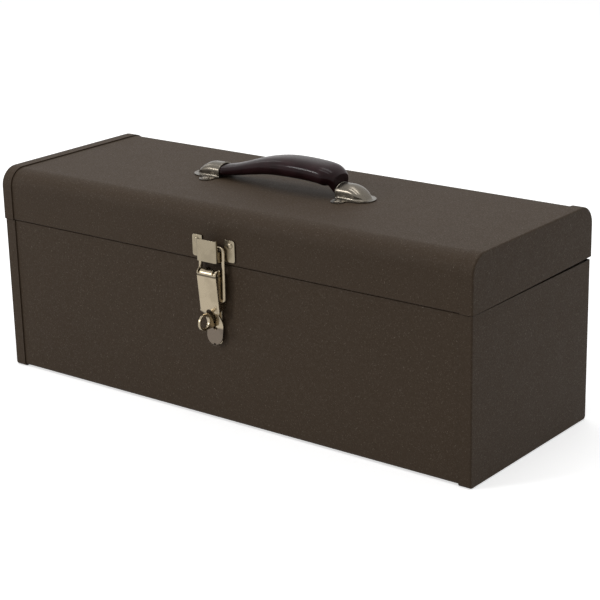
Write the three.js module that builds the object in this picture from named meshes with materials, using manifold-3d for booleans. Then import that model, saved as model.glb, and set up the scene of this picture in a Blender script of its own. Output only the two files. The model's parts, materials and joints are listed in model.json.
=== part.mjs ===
// A steel hand-carry tool box: flanged end caps over folded wrappers, a lid on a piano hinge,
// a moulded strap handle in two stamped hoods, an over-centre draw latch and a lift-out tray.
// Millimetres, +Z up, +X to the right as seen from the latch side. The origin is the bottom's centre.

import * as THREE from 'three';
import { mergeVertices } from 'three/addons/utils/BufferGeometryUtils.js';
import Module from 'manifold-3d';

const wasm = await Module();
wasm.setup();

// Overall sizes
const length = 508.4; // over the lid's end caps
const depth = 183; // over the lid's flanges
const seamHeight = 142.4; // from the floor to the line where lid and body meet
const lidHeight = 47.6; // from that line to the top of the lid's flanges
const overhang = 0.8; // how far the lid stands outside the body on each side

// Sheet metal and clearances
const sheet = 0.9;
const lapGap = 0.2; // between a flange and the wrapper under it
const seatGap = 0.1; // under plates that are riveted down
const runGap = 0.3; // between pieces that move past or rest on each other
const seamGap = 0.6; // lid edge to body edge along the front
const backSeamGap = 4.8; // the same along the back, where the hinge barrel lies
const overrun = 2; // how far a cutting solid runs past what it cuts

// End caps and wrappers
const flangeWidth = 11.7;
const capBend = 1.5;
const lidEdgeRadius = 17; // outer radius of the lid's long top edges, on the flange
const floorEdgeRadius = 3.2; // outer radius of the body's long bottom edges, on the flange
const hemHeight = 7;
const hemGap = 0.4; // the slit inside a folded hem

// Piano hinge
const hingeEndInset = 19; // the hinge stops short of each end
const hingeLeafHeight = 20;
const hingeLeafSheet = 0.9;
const barrelRadius = 2.1;
const hingePinRadius = 1.05;
const hingeBoreGap = 0.25;
const knuckleCount = 19;
const knuckleGap = 0.5;

// Rivets
const rivetRadius = 1.9;
const rivetHoleGap = 0.3;
const rivetHeadRadius = 3.4;
const rivetHeadHeight = 1.3;
const rivetTailRadius = 3;
const rivetTailHeight = 1;

// Handle: the centreline's heights are above the lid's top skin, its places are from the handle's centre
const handleX = 1.2;
const hoodMouth = 64.2; // from the handle's centre to a hood's mouth
const hoodLength = 28;
const hoodHeight = 12.4;
const hoodHalfWidth = 9.7;
const hoodSheet = 1;
const hoodSlant = 0.4; // how far the mouth's top lies behind its foot
const hoodEarReach = 23.4; // from the centre line to the tip of a riveted ear
const hoodEarHalfWidth = 6.2;
const hoodEarPlace = 8.2; // from the mouth to the ear's middle
const hoodToeLength = 32.8; // from the mouth to the tip of the base flange
const hoodFootHalfWidth = 12.8;
const earRivetReach = 17.6;
const gripWidth = 31;
const gripThick = 17.8;
const gripEndWidth = 18;
const gripEndThick = 9.8;
const gripRise = 19.7; // the centreline's highest point
const gripEndRise = 6; // and its height at the left hood's mouth
const gripMouthGap = 0.5; // between the grip's end and a hood's mouth
const coreWidth = 11;
const coreThick = 2.4;
const coreEndInset = 12; // the strap stops this far inside the toe
const coreGap = 0.3;
const hoodArchShare = 0.8; // rise of the hood's arch to its half width
const hoodShoulderShare = 0.36; // of the hood's length, before its top starts to fall
const hoodToeRiseShare = 0.06;
const hoodFallPower = 1.9;
const hoodTurnShare = 0.6; // of the hood's length, before its sides start to turn in
const hoodNarrowShare = 0.9; // how far they draw in towards the toe, 1 being to a point
const gripPlaceShares = [-1, -0.73, -0.46, -0.19, 0.08, 0.34, 0.58, 0.77, 0.91, 1];
const gripHeightShares = [0, 0.24, 0.54, 0.82, 0.97, 1, 0.96, 0.87, 0.66, 0];
const gripFullFromShare = 0.25; // of the half length to the right, where the grip has its full size
const gripFullToShare = 0.72;
const gripSquareness = 2.6; // 2 is an ellipse

// Draw latch. Out is from the body's front skin; rises are above the seam and falls below it, and drops
// and backs are from the pivot.
const latchX = -1.2;
const pivotOut = 9.2;
const pivotFall = 7.9;
const pivotPinRadius = 1.3;
const eyeDrop = 23; // from the pivot down to the bail's eyes
const eyeBack = 4.4; // and back towards the box
const leverHalfWidth = 10.5;
const leverSheet = 1.2;
const leverCurl = 4.3; // outer radius of the curl round the pivot
const leverPlateDrop = 33.5; // from the pivot to the channel's bottom edge
const leverPlateOut = 0.9; // how far the plate still stands in front of the pivot there
const curlTurn = 95; // degrees that the curl reaches back over the pivot, from its front
const cheekShares = [[1, 0], [0.7, 0.6], [0, 1], [-0.7, 0.4], [-1, -1]]; // out and up round the pivot
const leverFlangeBack = 8.6; // from the pivot back to the flanges' rear corner
const leverFlangeDrop = 29.2; // and down to it
const tailMidBack = 5.4; // the tail curves in towards the box below the channel
const tailMidDrop = 42.5;
const tailDipBack = 6.1;
const tailDipDrop = 47.5;
const tailTipBack = 3.9; // and the finger tab stands out again
const tailBend = 3;
const tailHalfWidth = 8.6;
const tailDrop = 63.8; // from the pivot to the finger tab's tip
const slotHalfWidth = 3.3;
const slotTopDrop = 31;
const slotBottomDrop = 50.9;
const slotRoundShare = 0.9;
const earSlotFrontShare = 0.75; // the curl's notches for the base's ears, to its radius
const earSlotFootShare = 0.2;
const bailRadius = 1.6;
const bailHalfWidth = 12.5; // to the legs' centre lines
const bailBend = 3.4;
const bailEyeBend = 2.1;
const barRise = 14.6; // of the bail's bar behind the strike's lip
const barOut = 4.3;
const bailTuck = 3.9; // how far the eyes' ends reach in from the legs
const drawGap = 1.1; // the bar hangs this far over the strike's walls, and sinks by less as the lever lifts
const strikeHalfWidth = 23;
const strikeTopRise = 22.1;
const strikeFootRise = 3.1;
const strikeSheet = 1.2;
const lipHalfWidth = 10.6;
const lipOut = 11.1; // from the lid's skin to the lip's front
const lipReturn = 2.8; // depth of the lip's folded sides above the bar
const strikeRivetReach = 18.2;
const strikeRivetRise = 17.5;
const strikeRivetHead = 2.6;
const strikeCorner = 2.2;
const lipCorner = 1;
const baseSheet = 1.4;
const baseHalfWidth = 8.2;
const baseTopFall = 8.9;
const baseFootFall = 37.9;
const baseEarRadius = 2.7;
const upperRivetFall = 20.9;
const lowerRivetFall = 32.3;
const stapleRadius = 7.2;
const stapleHole = 5.3;
const stapleOut = 16.9; // from the body's skin to the ring's centre
const stapleFall = 48.5;
const stapleSheet = 2.4;
const stapleFootHalfWidth = 6;
const stapleFootFall = 72.3;
const stapleRivetFall = 68.1;

// Tray
const trayHeight = 50;
const trayTopDrop = 6; // from the seam down to the tray's rim
const traySideGap = 3; // between the tray and what stands beside it
const trayCorner = 6;
const trayRim = 2; // thickness of the rolled rim
const trayRimHeight = 4;
const ledgeWidth = 12;
const ledgeHeight = 16;
const ledgeSetback = 14; // from the wrapper's inside to a ledge's end
const trayHandleWidth = 20;
const trayHandleSheet = 1.6;
const trayHandleRise = 21; // above the rim
const trayHandleBend = 14;
const trayHandleFoot = 22; // from the rim down to the strap's ends
const trayRivetDrop = 15;

// Fineness of round shapes
const rivetSides = 12;
const barrelSides = 12;
const cornerSteps = 8;
const bendSteps = 2;
const foldSteps = 4;
const smallSteps = 3;
const ringSteps = 24;
const domeSteps = 3;
const hoodSteps = 9;
const hoodArchSteps = 8;
const gripSides = 20;
const handleSteps = 34;
const wireSides = 8;
const wireSteps = 96;

// Sizes that follow from those above
const height = seamHeight + lidHeight;
const lidHalfLength = length / 2;
const bodyHalfLength = lidHalfLength - overhang;
const lidHalfDepth = depth / 2;
const bodyHalfDepth = lidHalfDepth - overhang;
const skinInset = sheet + lapGap; // from a flange's outside to the wrapper's outside
const lidSkin = lidHalfDepth - skinInset;
const bodySkin = bodyHalfDepth - skinInset;
const lidTopSkin = height - skinInset;
const bodyTop = seamHeight - seamGap / 2;
const lidBottom = seamHeight + seamGap / 2;
const bodyBackTop = seamHeight - backSeamGap / 2;
const lidBackBottom = seamHeight + backSeamGap / 2;
const hemReach = 2 * sheet + hemGap; // from a wrapper's outside to its hem's inside
const leafFront = bodySkin - sheet - runGap - hingeLeafSheet;
const hingeY = leafFront + barrelRadius;
const hingeHalfLength = bodyHalfLength - hingeEndInset;
const pivotUp = seamHeight - pivotFall;
const barUp = seamHeight + barRise;
const strikeTop = seamHeight + strikeTopRise;
const strikeBottom = seamHeight + strikeFootRise;
const strikeRivetUp = seamHeight + strikeRivetRise;
const baseTop = seamHeight - baseTopFall;
const baseBottom = seamHeight - baseFootFall;
const baseRivetUps = [seamHeight - upperRivetFall, seamHeight - lowerRivetFall];
const stapleUp = seamHeight - stapleFall;
const stapleFootBottom = seamHeight - stapleFootFall;
const stapleRivetUp = seamHeight - stapleRivetFall;

const paint = new THREE.MeshStandardMaterial({ color: 0x3b322d, roughness: 0.62, metalness: 0.1 });
const trayPaint = new THREE.MeshStandardMaterial({ color: 0x40362f, roughness: 0.5, metalness: 0.1 });
const nickel = new THREE.MeshStandardMaterial({ color: 0xa9a392, roughness: 0.28, metalness: 1 });
const steel = new THREE.MeshStandardMaterial({ color: 0x8f8f8c, roughness: 0.4, metalness: 1 });
const vinyl = new THREE.MeshStandardMaterial({ color: 0x3a1b20, roughness: 0.3, metalness: 0 });

// A closed geometry as a solid for cutting and joining
function solid(geometry) {
  const bare = geometry.clone();
  bare.deleteAttribute('normal');
  bare.deleteAttribute('uv');
  const merged = mergeVertices(bare);
  const corners = merged.index.array;
  const kept = [];
  for (let i = 0; i < corners.length; i += 3) {
    const [a, b, c] = [corners[i], corners[i + 1], corners[i + 2]];
    if (a !== b && b !== c && c !== a) kept.push(a, b, c);
  }
  return new wasm.Manifold(new wasm.Mesh({
    numProp: 3,
    vertProperties: new Float32Array(merged.attributes.position.array),
    triVerts: new Uint32Array(kept),
  }));
}

// A named mesh from a solid
function piece(name, shape, material) {
  const { vertProperties, triVerts } = shape.getMesh();
  const geometry = new THREE.BufferGeometry();
  geometry.setAttribute('position', new THREE.BufferAttribute(vertProperties, 3));
  geometry.setIndex(new THREE.BufferAttribute(triVerts, 1));
  geometry.computeVertexNormals();
  const mesh = new THREE.Mesh(geometry, material);
  mesh.name = name;
  return mesh;
}

const joined = (shapes) => shapes.reduce((all, shape) => all.add(shape));
const without = (shape, cuts) => cuts.reduce((rest, cut) => rest.subtract(cut), shape);

// A block between two values on each axis
function block([x0, x1], [y0, y1], [z0, z1]) {
  const box = new THREE.BoxGeometry(x1 - x0, y1 - y0, z1 - z0);
  return solid(box.translate((x0 + x1) / 2, (y0 + y1) / 2, (z0 + z1) / 2));
}

// An outline drawn in (y, z), drawn out along X from x0 to x1
function alongX(outline, [x0, x1], curveSegments = cornerSteps) {
  const geometry = new THREE.ExtrudeGeometry(outline, { depth: x1 - x0, bevelEnabled: false, curveSegments });
  const turned = new THREE.Matrix4().makeBasis(
    new THREE.Vector3(0, 1, 0), new THREE.Vector3(0, 0, 1), new THREE.Vector3(1, 0, 0));
  return solid(geometry.applyMatrix4(turned).translate(x0, 0, 0));
}

// An outline drawn in (x, z), drawn out along Y from y0 to y1
function alongY(outline, [y0, y1], curveSegments = cornerSteps) {
  const geometry = new THREE.ExtrudeGeometry(outline, { depth: y1 - y0, bevelEnabled: false, curveSegments });
  return solid(geometry.rotateX(Math.PI / 2).translate(0, y1, 0));
}

// An outline drawn in (x, y), drawn out along Z from z0 to z1
function alongZ(outline, [z0, z1], curveSegments = cornerSteps) {
  const geometry = new THREE.ExtrudeGeometry(outline, { depth: z1 - z0, bevelEnabled: false, curveSegments });
  return solid(geometry.translate(0, 0, z0));
}

// A round bar along X, Y or Z between two values; at gives the two other coordinates in X, Y, Z order
function bar(axis, [from, to], at, radius, sides = rivetSides) {
  const rod = new THREE.CylinderGeometry(radius, radius, to - from, sides);
  const middle = (from + to) / 2;
  if (axis === 'x') return solid(rod.rotateZ(-Math.PI / 2).translate(middle, at[0], at[1]));
  if (axis === 'y') return solid(rod.translate(at[0], middle, at[1]));
  return solid(rod.rotateX(Math.PI / 2).translate(at[0], at[1], middle));
}

function polygon(points) {
  return new THREE.Shape(points.map(([a, b]) => new THREE.Vector2(a, b)));
}

// A rectangle with its own radius at each corner, from the lower left one round to the upper left one
function roundedBox([a0, a1], [b0, b1], radii) {
  const [lowLeft, lowRight, topRight, topLeft] = radii;
  const shape = new THREE.Shape();
  const corner = (a, b, radius, start) => {
    if (radius > 0) shape.absarc(a, b, radius, start, start + Math.PI / 2, false);
    else shape.lineTo(a, b);
  };
  shape.moveTo(a0 + lowLeft, b0);
  corner(a1 - lowRight, b0 + lowRight, lowRight, -Math.PI / 2);
  corner(a1 - topRight, b1 - topRight, topRight, 0);
  corner(a0 + topLeft, b1 - topLeft, topLeft, Math.PI / 2);
  corner(a0 + lowLeft, b0 + lowLeft, lowLeft, Math.PI);
  return shape;
}

// The outline of a folded sheet. corners are [a, b, radius] along its outer face; side is 1 where the
// sheet lies to the left of that path and -1 where it lies to the right.
function foldedSheet(corners, thickness, side, steps = cornerSteps) {
  const outer = [];
  const inner = [];
  const put = (point, normal) => {
    outer.push(point);
    inner.push(point.clone().addScaledVector(normal, thickness));
  };
  const points = corners.map(([a, b]) => new THREE.Vector2(a, b));
  const leftOf = (v) => new THREE.Vector2(-v.y, v.x).multiplyScalar(side);
  points.forEach((point, i) => {
    const before = i > 0 ? point.clone().sub(points[i - 1]).normalize() : null;
    const after = i < points.length - 1 ? points[i + 1].clone().sub(point).normalize() : null;
    const radius = corners[i][2] ?? 0;
    if (!before || !after || radius === 0) {
      put(point, leftOf(before && after ? before.clone().add(after).normalize() : before ?? after));
      return;
    }
    const turn = Math.acos(THREE.MathUtils.clamp(before.dot(after), -1, 1));
    const way = Math.sign(before.cross(after));
    const inward = way === side ? 1 : -1; // 1 where the bend turns towards the sheet's own side
    const start = point.clone().addScaledVector(before, -radius * Math.tan(turn / 2));
    const centre = start.clone().addScaledVector(leftOf(before), inward * radius);
    for (let k = 0; k <= steps; k += 1) {
      const spoke = start.clone().sub(centre).rotateAround(new THREE.Vector2(), (way * turn * k) / steps);
      put(centre.clone().add(spoke), spoke.clone().normalize().multiplyScalar(-inward));
    }
  });
  return new THREE.Shape([...outer, ...inner.reverse()]);
}

// A rivet along Y or Z: a domed head at headFace, a shank, and a flat tail at tailFace
function rivet(axis, at, headFace, tailFace, headRadius = rivetHeadRadius) {
  const outward = Math.sign(headFace - tailFace);
  const shank = bar(axis, [Math.min(headFace, tailFace), Math.max(headFace, tailFace)], at, rivetRadius);
  const dome = [new THREE.Vector2(0, 0), new THREE.Vector2(headRadius, 0)];
  for (let k = 1; k <= domeSteps; k += 1) {
    const angle = (k / domeSteps) * (Math.PI / 2);
    const across = k === domeSteps ? 0 : headRadius * Math.cos(angle);
    dome.push(new THREE.Vector2(across, rivetHeadHeight * Math.sin(angle)));
  }
  const head = new THREE.LatheGeometry(dome, rivetSides);
  const tail = new THREE.CylinderGeometry(rivetTailRadius, rivetTailRadius, rivetTailHeight, rivetSides);
  tail.translate(0, -rivetTailHeight / 2, 0);
  for (const [shape, face] of [[head, headFace], [tail, tailFace]]) {
    if (axis === 'z') shape.rotateX(outward * Math.PI / 2).translate(at[0], at[1], face);
    else {
      if (outward < 0) shape.rotateX(Math.PI);
      shape.translate(at[0], face, at[1]);
    }
  }
  return joined([shank, solid(head), solid(tail)]);
}

const rivetHole = (axis, at, [from, to]) => bar(axis, [from, to], at, rivetRadius + rivetHoleGap);

// Body: front, bottom and back in one folded sheet, with a hem along the front's top edge
const hemFold = sheet + hemGap / 2;
const bodyWrapperHalfLength = bodyHalfLength - skinInset;
const lidWrapperHalfLength = lidHalfLength - skinInset;

function bodyWrapper() {
  const floorSkin = skinInset;
  const bend = floorEdgeRadius - skinInset + sheet;
  const outline = foldedSheet([
    [-bodySkin + hemReach, bodyTop - hemHeight],
    [-bodySkin + hemReach, bodyTop, hemFold],
    [-bodySkin, bodyTop, hemFold],
    [-bodySkin, floorSkin, bend],
    [bodySkin, floorSkin, bend],
    [bodySkin, bodyBackTop],
  ], sheet, 1, foldSteps);
  const tube = alongX(outline, [-bodyWrapperHalfLength, bodyWrapperHalfLength]);
  const rivetPlaces = [...baseRivetUps, stapleRivetUp];
  return without(tube, rivetPlaces.map((up) => (
    rivetHole('y', [latchX, up], [-bodySkin - overrun, -bodySkin + sheet + overrun])
  )));
}

// Lid: front, top and back in one folded sheet
function lidWrapper() {
  const bend = lidEdgeRadius - skinInset;
  const outline = foldedSheet([
    [-lidSkin + hemReach, lidBottom + hemHeight],
    [-lidSkin + hemReach, lidBottom, hemFold],
    [-lidSkin, lidBottom, hemFold],
    [-lidSkin, lidTopSkin, bend],
    [lidSkin, lidTopSkin, bend],
    [lidSkin, lidBackBottom],
  ], sheet, -1);
  const tube = alongX(outline, [-lidWrapperHalfLength, lidWrapperHalfLength]);
  const strikeHoles = strikeRivetPlaces.map((at) => (
    rivetHole('y', at, [-lidSkin - overrun, -lidSkin + sheet + overrun])
  ));
  const handleHoles = handleRivetPlaces.map((at) => (
    rivetHole('z', at, [lidTopSkin - sheet - overrun, lidTopSkin + overrun])
  ));
  return without(tube, [...strikeHoles, ...handleHoles]);
}

// An end cap's dished plate: its panel, its bent edge and the flange that laps over the wrapper.
// It is drawn for the right end; the left one is its mirror.
function dishedPlate(outside, inside, halfLength) {
  const bevel = { bevelEnabled: true, bevelThickness: capBend, bevelSize: capBend, bevelOffset: -capBend };
  const reach = flangeWidth + overrun;
  const outer = new THREE.ExtrudeGeometry(outside, {
    ...bevel, bevelSegments: bendSteps, curveSegments: cornerSteps, depth: reach - 2 * capBend,
  });
  const turned = new THREE.Matrix4().makeBasis(
    new THREE.Vector3(0, 1, 0), new THREE.Vector3(0, 0, 1), new THREE.Vector3(1, 0, 0));
  const full = solid(outer.applyMatrix4(turned).translate(halfLength - reach + capBend, 0, 0));
  const inner = alongX(inside, [halfLength - reach - overrun, halfLength - sheet]);
  const trim = block([halfLength - reach - overrun, halfLength - flangeWidth],
    [-depth, depth], [-overrun, height + overrun]);
  return without(full, [inner, trim]);
}

function bodyEnd(side) {
  const innerRadius = floorEdgeRadius - sheet;
  const outside = roundedBox([-bodyHalfDepth, bodyHalfDepth], [0, bodyTop],
    [floorEdgeRadius, floorEdgeRadius, 0, 0]);
  const insideHalf = bodyHalfDepth - sheet;
  const inside = roundedBox([-insideHalf, insideHalf], [sheet, bodyTop + overrun],
    [innerRadius, innerRadius, 0, 0]);
  const plate = dishedPlate(outside, inside, bodyHalfLength);
  const hemSpan = [-bodySkin + hemReach + runGap, leafFront - runGap];
  const x1 = bodyHalfLength;
  const hem = block([x1 - hemReach, x1 - sheet - hemGap], hemSpan,
    [bodyTop - hemHeight, bodyTop - sheet / 2]);
  const fold = block([x1 - hemReach, x1 - sheet / 2], hemSpan,
    [bodyTop - sheet - sheet / 2, bodyTop - sheet / 2]);
  const behindBarrel = block([x1 - flangeWidth - overrun, x1 - sheet - lapGap],
    [hingeY - backSeamGap / 2, bodyHalfDepth + overrun], [bodyBackTop, bodyTop + overrun]);
  return mirrored(without(joined([plate, hem, fold]), [behindBarrel]), side);
}

function lidEnd(side) {
  const innerRadius = lidEdgeRadius - sheet;
  const outside = roundedBox([-lidHalfDepth, lidHalfDepth], [lidBottom, height],
    [0, 0, lidEdgeRadius, lidEdgeRadius]);
  const insideHalf = lidHalfDepth - sheet;
  const inside = roundedBox([-insideHalf, insideHalf], [lidBottom - overrun, height - sheet],
    [0, 0, innerRadius, innerRadius]);
  const plate = dishedPlate(outside, inside, lidHalfLength);
  // the lower edge rises towards the hinge
  const wedge = alongX(polygon([
    [-lidHalfDepth, lidBottom], [lidHalfDepth, lidBackBottom],
    [lidHalfDepth + overrun, lidBackBottom], [lidHalfDepth + overrun, lidBottom - overrun],
    [-lidHalfDepth, lidBottom - overrun],
  ]), [lidHalfLength - flangeWidth - overrun, lidHalfLength + overrun]);
  return mirrored(plate.subtract(wedge), side);
}

const mirrored = (shape, side) => (side > 0 ? shape : shape.mirror([1, 0, 0]));

// Piano hinge: each leaf carries every other knuckle of the barrel
function hingeLeaf(which) {
  const up = which === 'upper' ? 1 : -1;
  const pitch = (2 * hingeHalfLength) / knuckleCount;
  const wallInside = which === 'upper' ? lidSkin : bodySkin;
  const leafBack = Math.min(wallInside - sheet - runGap, leafFront + hingeLeafSheet);
  const far = seamHeight + up * hingeLeafHeight;
  const near = seamHeight + up * (barrelRadius + runGap);
  const leaf = block([-hingeHalfLength, hingeHalfLength], [leafFront, leafBack],
    [Math.min(far, near), Math.max(far, near)]);
  const knuckles = [];
  for (let i = which === 'upper' ? 1 : 0; i < knuckleCount; i += 2) {
    const x0 = -hingeHalfLength + i * pitch + knuckleGap / 2;
    const span = [x0, x0 + pitch - knuckleGap];
    const neck = block(span, [leafFront, leafBack], [Math.min(seamHeight, near), Math.max(seamHeight, near)]);
    knuckles.push(bar('x', span, [hingeY, seamHeight], barrelRadius, barrelSides), neck);
  }
  const bore = bar('x', [-hingeHalfLength - overrun, hingeHalfLength + overrun], [hingeY, seamHeight],
    hingePinRadius + hingeBoreGap, barrelSides);
  return joined([leaf, ...knuckles]).subtract(bore);
}

const hingePin = () => (
  bar('x', [-hingeHalfLength, hingeHalfLength], [hingeY, seamHeight], hingePinRadius, barrelSides)
);

// Handle hoods: a stamped hood with its mouth towards the grip, on a base flange with two ears
const earPlace = hoodMouth + hoodEarPlace;
const handleRivetPlaces = [-1, 1].flatMap((side) => (
  [-1, 1].map((front) => [handleX + side * earPlace, front * earRivetReach])
));
const hoodFoot = lidTopSkin + seatGap;

// The hood's outer form: an arched section drawn in from a shoulder to the toe
function hoodForm(halfWidth, rise, reach, floor, start = 0) {
  const section = new THREE.Shape();
  section.moveTo(halfWidth, floor);
  const archRise = halfWidth * hoodArchShare;
  section.lineTo(halfWidth, rise - archRise);
  section.absellipse(0, rise - archRise, halfWidth, archRise, 0, Math.PI, false, 0);
  section.lineTo(-halfWidth, floor);
  const form = new THREE.ExtrudeGeometry(section, {
    depth: reach - start, steps: hoodSteps, bevelEnabled: false, curveSegments: hoodArchSteps,
  });
  const places = form.attributes.position;
  for (let i = 0; i < places.count; i += 1) {
    const along = start + places.getZ(i);
    const past = (from) => THREE.MathUtils.clamp((along / reach - from) / (1 - from), 0, 1);
    const drop = Math.sqrt(1 - (1 - hoodToeRiseShare) * past(hoodShoulderShare) ** 2) ** hoodFallPower;
    const narrow = Math.sqrt(1 - hoodNarrowShare * past(hoodTurnShare) ** 2);
    const up = floor + (places.getY(i) - floor) * drop;
    const slant = hoodSlant * (up / hoodHeight) * (1 - along / hoodLength);
    places.setXYZ(i, hoodMouth + along + slant, places.getX(i) * narrow, up);
  }
  return form;
}

function handleCap(side) {
  const plate = new THREE.Shape();
  const ear0 = earPlace - hoodEarHalfWidth;
  const ear1 = earPlace + hoodEarHalfWidth;
  const earCentre = hoodEarReach - hoodEarHalfWidth;
  const toe = hoodMouth + hoodToeLength;
  plate.moveTo(ear0, -earCentre);
  plate.absarc(earPlace, -earCentre, hoodEarHalfWidth, Math.PI, 2 * Math.PI, false);
  plate.quadraticCurveTo(ear1, -hoodFootHalfWidth, ear1 + hoodEarHalfWidth / 2, -hoodFootHalfWidth);
  plate.quadraticCurveTo(toe, -hoodFootHalfWidth, toe, 0);
  plate.quadraticCurveTo(toe, hoodFootHalfWidth, ear1 + hoodEarHalfWidth / 2, hoodFootHalfWidth);
  plate.quadraticCurveTo(ear1, hoodFootHalfWidth, ear1, earCentre);
  plate.absarc(earPlace, earCentre, hoodEarHalfWidth, 0, Math.PI, false);
  const base = alongZ(plate, [hoodFoot, hoodFoot + hoodSheet]);
  const rise = hoodHeight;
  const outer = solid(hoodForm(hoodHalfWidth, rise, hoodLength, 0)).translate([0, 0, hoodFoot]);
  const hollow = hoodForm(hoodHalfWidth - hoodSheet, rise - hoodSheet, hoodLength - 2 * hoodSheet,
    -overrun, -overrun);
  const inner = solid(hollow).translate([0, 0, hoodFoot]);
  const body = without(joined([base, outer]), [inner]);
  const shape = without(body, [-1, 1].map((front) => (
    rivetHole('z', [earPlace, front * earRivetReach], [hoodFoot - overrun, hoodFoot + hoodSheet + overrun])
  )));
  return mirrored(shape, side).translate([handleX, 0, 0]);
}

const handleRivet = (at) => rivet('z', at, hoodFoot + hoodSheet + seatGap, lidTopSkin - sheet - seatGap);

// The handle's centreline, as places from its centre and heights above the lid's top skin. The grip
// leans to the right: it climbs slowly from the left hood and drops steeply into the right one.
const strapEnd = hoodMouth + hoodLength - coreEndInset;
const coreRest = coreThick / 2 + runGap; // the strap's ends lie on the lid under the hoods
const centreline = new THREE.CatmullRomCurve3([
  new THREE.Vector3(-strapEnd, 0, coreRest),
  ...gripPlaceShares.map((place, i) => new THREE.Vector3(
    place * hoodMouth, 0, gripEndRise + gripHeightShares[i] * (gripRise - gripEndRise))),
  new THREE.Vector3(strapEnd, 0, coreRest),
], false, 'centripetal');

// A straight bar with its length along Z, laid along the centreline; size gives half width and half
// thickness at a share of the way
function laidAlongHandle(section, size, steps) {
  const bend = new THREE.ExtrudeGeometry(section, { depth: 1, steps, bevelEnabled: false });
  const places = bend.attributes.position;
  const sideways = new THREE.Vector3(0, 1, 0);
  for (let i = 0; i < places.count; i += 1) {
    const share = places.getZ(i);
    const point = centreline.getPointAt(share);
    const upward = centreline.getTangentAt(share).cross(sideways);
    const [halfWidth, halfThick] = size(share);
    point.addScaledVector(sideways, places.getX(i) * halfWidth);
    point.addScaledVector(upward, places.getY(i) * halfThick);
    places.setXYZ(i, point.x + handleX, point.y, point.z + lidTopSkin);
  }
  return solid(bend);
}

function superellipse(sides, power) {
  const points = [];
  for (let i = 0; i < sides; i += 1) {
    const angle = (i / sides) * 2 * Math.PI;
    const [c, s] = [Math.cos(angle), Math.sin(angle)];
    points.push([Math.sign(c) * Math.abs(c) ** (2 / power), Math.sign(s) * Math.abs(s) ** (2 / power)]);
  }
  return polygon(points);
}

const unitSquare = polygon([[-1, -1], [1, -1], [1, 1], [-1, 1]]);

function gripSize(share) {
  const gripShare = hoodMouth / strapEnd;
  const place = THREE.MathUtils.clamp((2 * share - 1) / gripShare, -1, 1);
  const leftward = (gripFullFromShare - place) / (gripFullFromShare + 1);
  const rightward = (place - gripFullToShare) / (1 - gripFullToShare);
  const ease = THREE.MathUtils.smoothstep(Math.max(leftward, rightward), 0, 1);
  return [
    THREE.MathUtils.lerp(gripWidth, gripEndWidth, ease) / 2,
    THREE.MathUtils.lerp(gripThick, gripEndThick, ease) / 2,
  ];
}

function handleGrip() {
  const full = laidAlongHandle(superellipse(gripSides, gripSquareness), gripSize, handleSteps);
  const boreSize = [coreWidth / 2 + coreGap, coreThick / 2 + coreGap];
  const bore = laidAlongHandle(unitSquare, () => boreSize, handleSteps);
  // the ends are cut parallel to the leaning mouths
  const end = hoodMouth - gripMouthGap;
  const keep = alongY(polygon([
    [handleX - end, lidTopSkin], [handleX + end, lidTopSkin],
    [handleX + end + 3 * hoodSlant, lidTopSkin + 3 * hoodHeight],
    [handleX - end - 3 * hoodSlant, lidTopSkin + 3 * hoodHeight],
  ]), [-gripWidth, gripWidth]);
  return full.intersect(keep).subtract(bore);
}

const handleCore = () => laidAlongHandle(unitSquare, () => [coreWidth / 2, coreThick / 2], handleSteps);

// Draw latch. Its shapes are drawn in (out, up) from the pivot or the body's skin; out is -Y.
const pivotY = -bodySkin - pivotOut;
const strikeRivetPlaces = [-1, 1].map((side) => [latchX + side * strikeRivetReach, strikeRivetUp]);
const strikeFoot = -lidSkin - seatGap;
const lipNotch = barUp - bailRadius - drawGap; // the top of the strike's side walls, under the bar

function latchStrike() {
  const lipFront = strikeFoot - lipOut;
  const ears = [-1, 1].map((side) => {
    const span = [latchX + side * (lipHalfWidth - strikeSheet), latchX + side * strikeHalfWidth];
    const radii = side > 0 ? [0, strikeCorner, strikeCorner, 0] : [strikeCorner, 0, 0, strikeCorner];
    const outline = roundedBox([Math.min(...span), Math.max(...span)], [strikeBottom, strikeTop], radii);
    return alongY(outline, [strikeFoot - strikeSheet, strikeFoot], smallSteps);
  });
  const walls = [-1, 1].map((side) => {
    const span = [latchX + side * (lipHalfWidth - strikeSheet), latchX + side * lipHalfWidth];
    return block([Math.min(...span), Math.max(...span)], [lipFront, strikeFoot],
      [strikeBottom, lipNotch]);
  });
  const returns = [-1, 1].map((side) => {
    const span = [latchX + side * (lipHalfWidth - strikeSheet), latchX + side * lipHalfWidth];
    return block([Math.min(...span), Math.max(...span)], [lipFront, lipFront + lipReturn],
      [strikeBottom, strikeTop]);
  });
  const lip = alongY(roundedBox([latchX - lipHalfWidth, latchX + lipHalfWidth], [strikeBottom, strikeTop],
    [0, 0, lipCorner, lipCorner]), [lipFront, lipFront + strikeSheet], smallSteps);
  const slots = strikeRivetPlaces.map((at) => (
    rivetHole('y', at, [strikeFoot - strikeSheet - overrun, strikeFoot + overrun])
  ));
  const middle = block([latchX - lipHalfWidth + strikeSheet, latchX + lipHalfWidth - strikeSheet],
    [strikeFoot - strikeSheet - overrun, strikeFoot + overrun], [lipNotch - overrun, strikeTop + overrun]);
  return without(joined([...ears, ...walls, ...returns, lip]), [middle, ...slots]);
}

const strikeRivet = (at) => (
  rivet('y', at, strikeFoot - strikeSheet - seatGap, -lidSkin + sheet + seatGap, strikeRivetHead)
);

const baseFoot = -bodySkin - seatGap;

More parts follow.
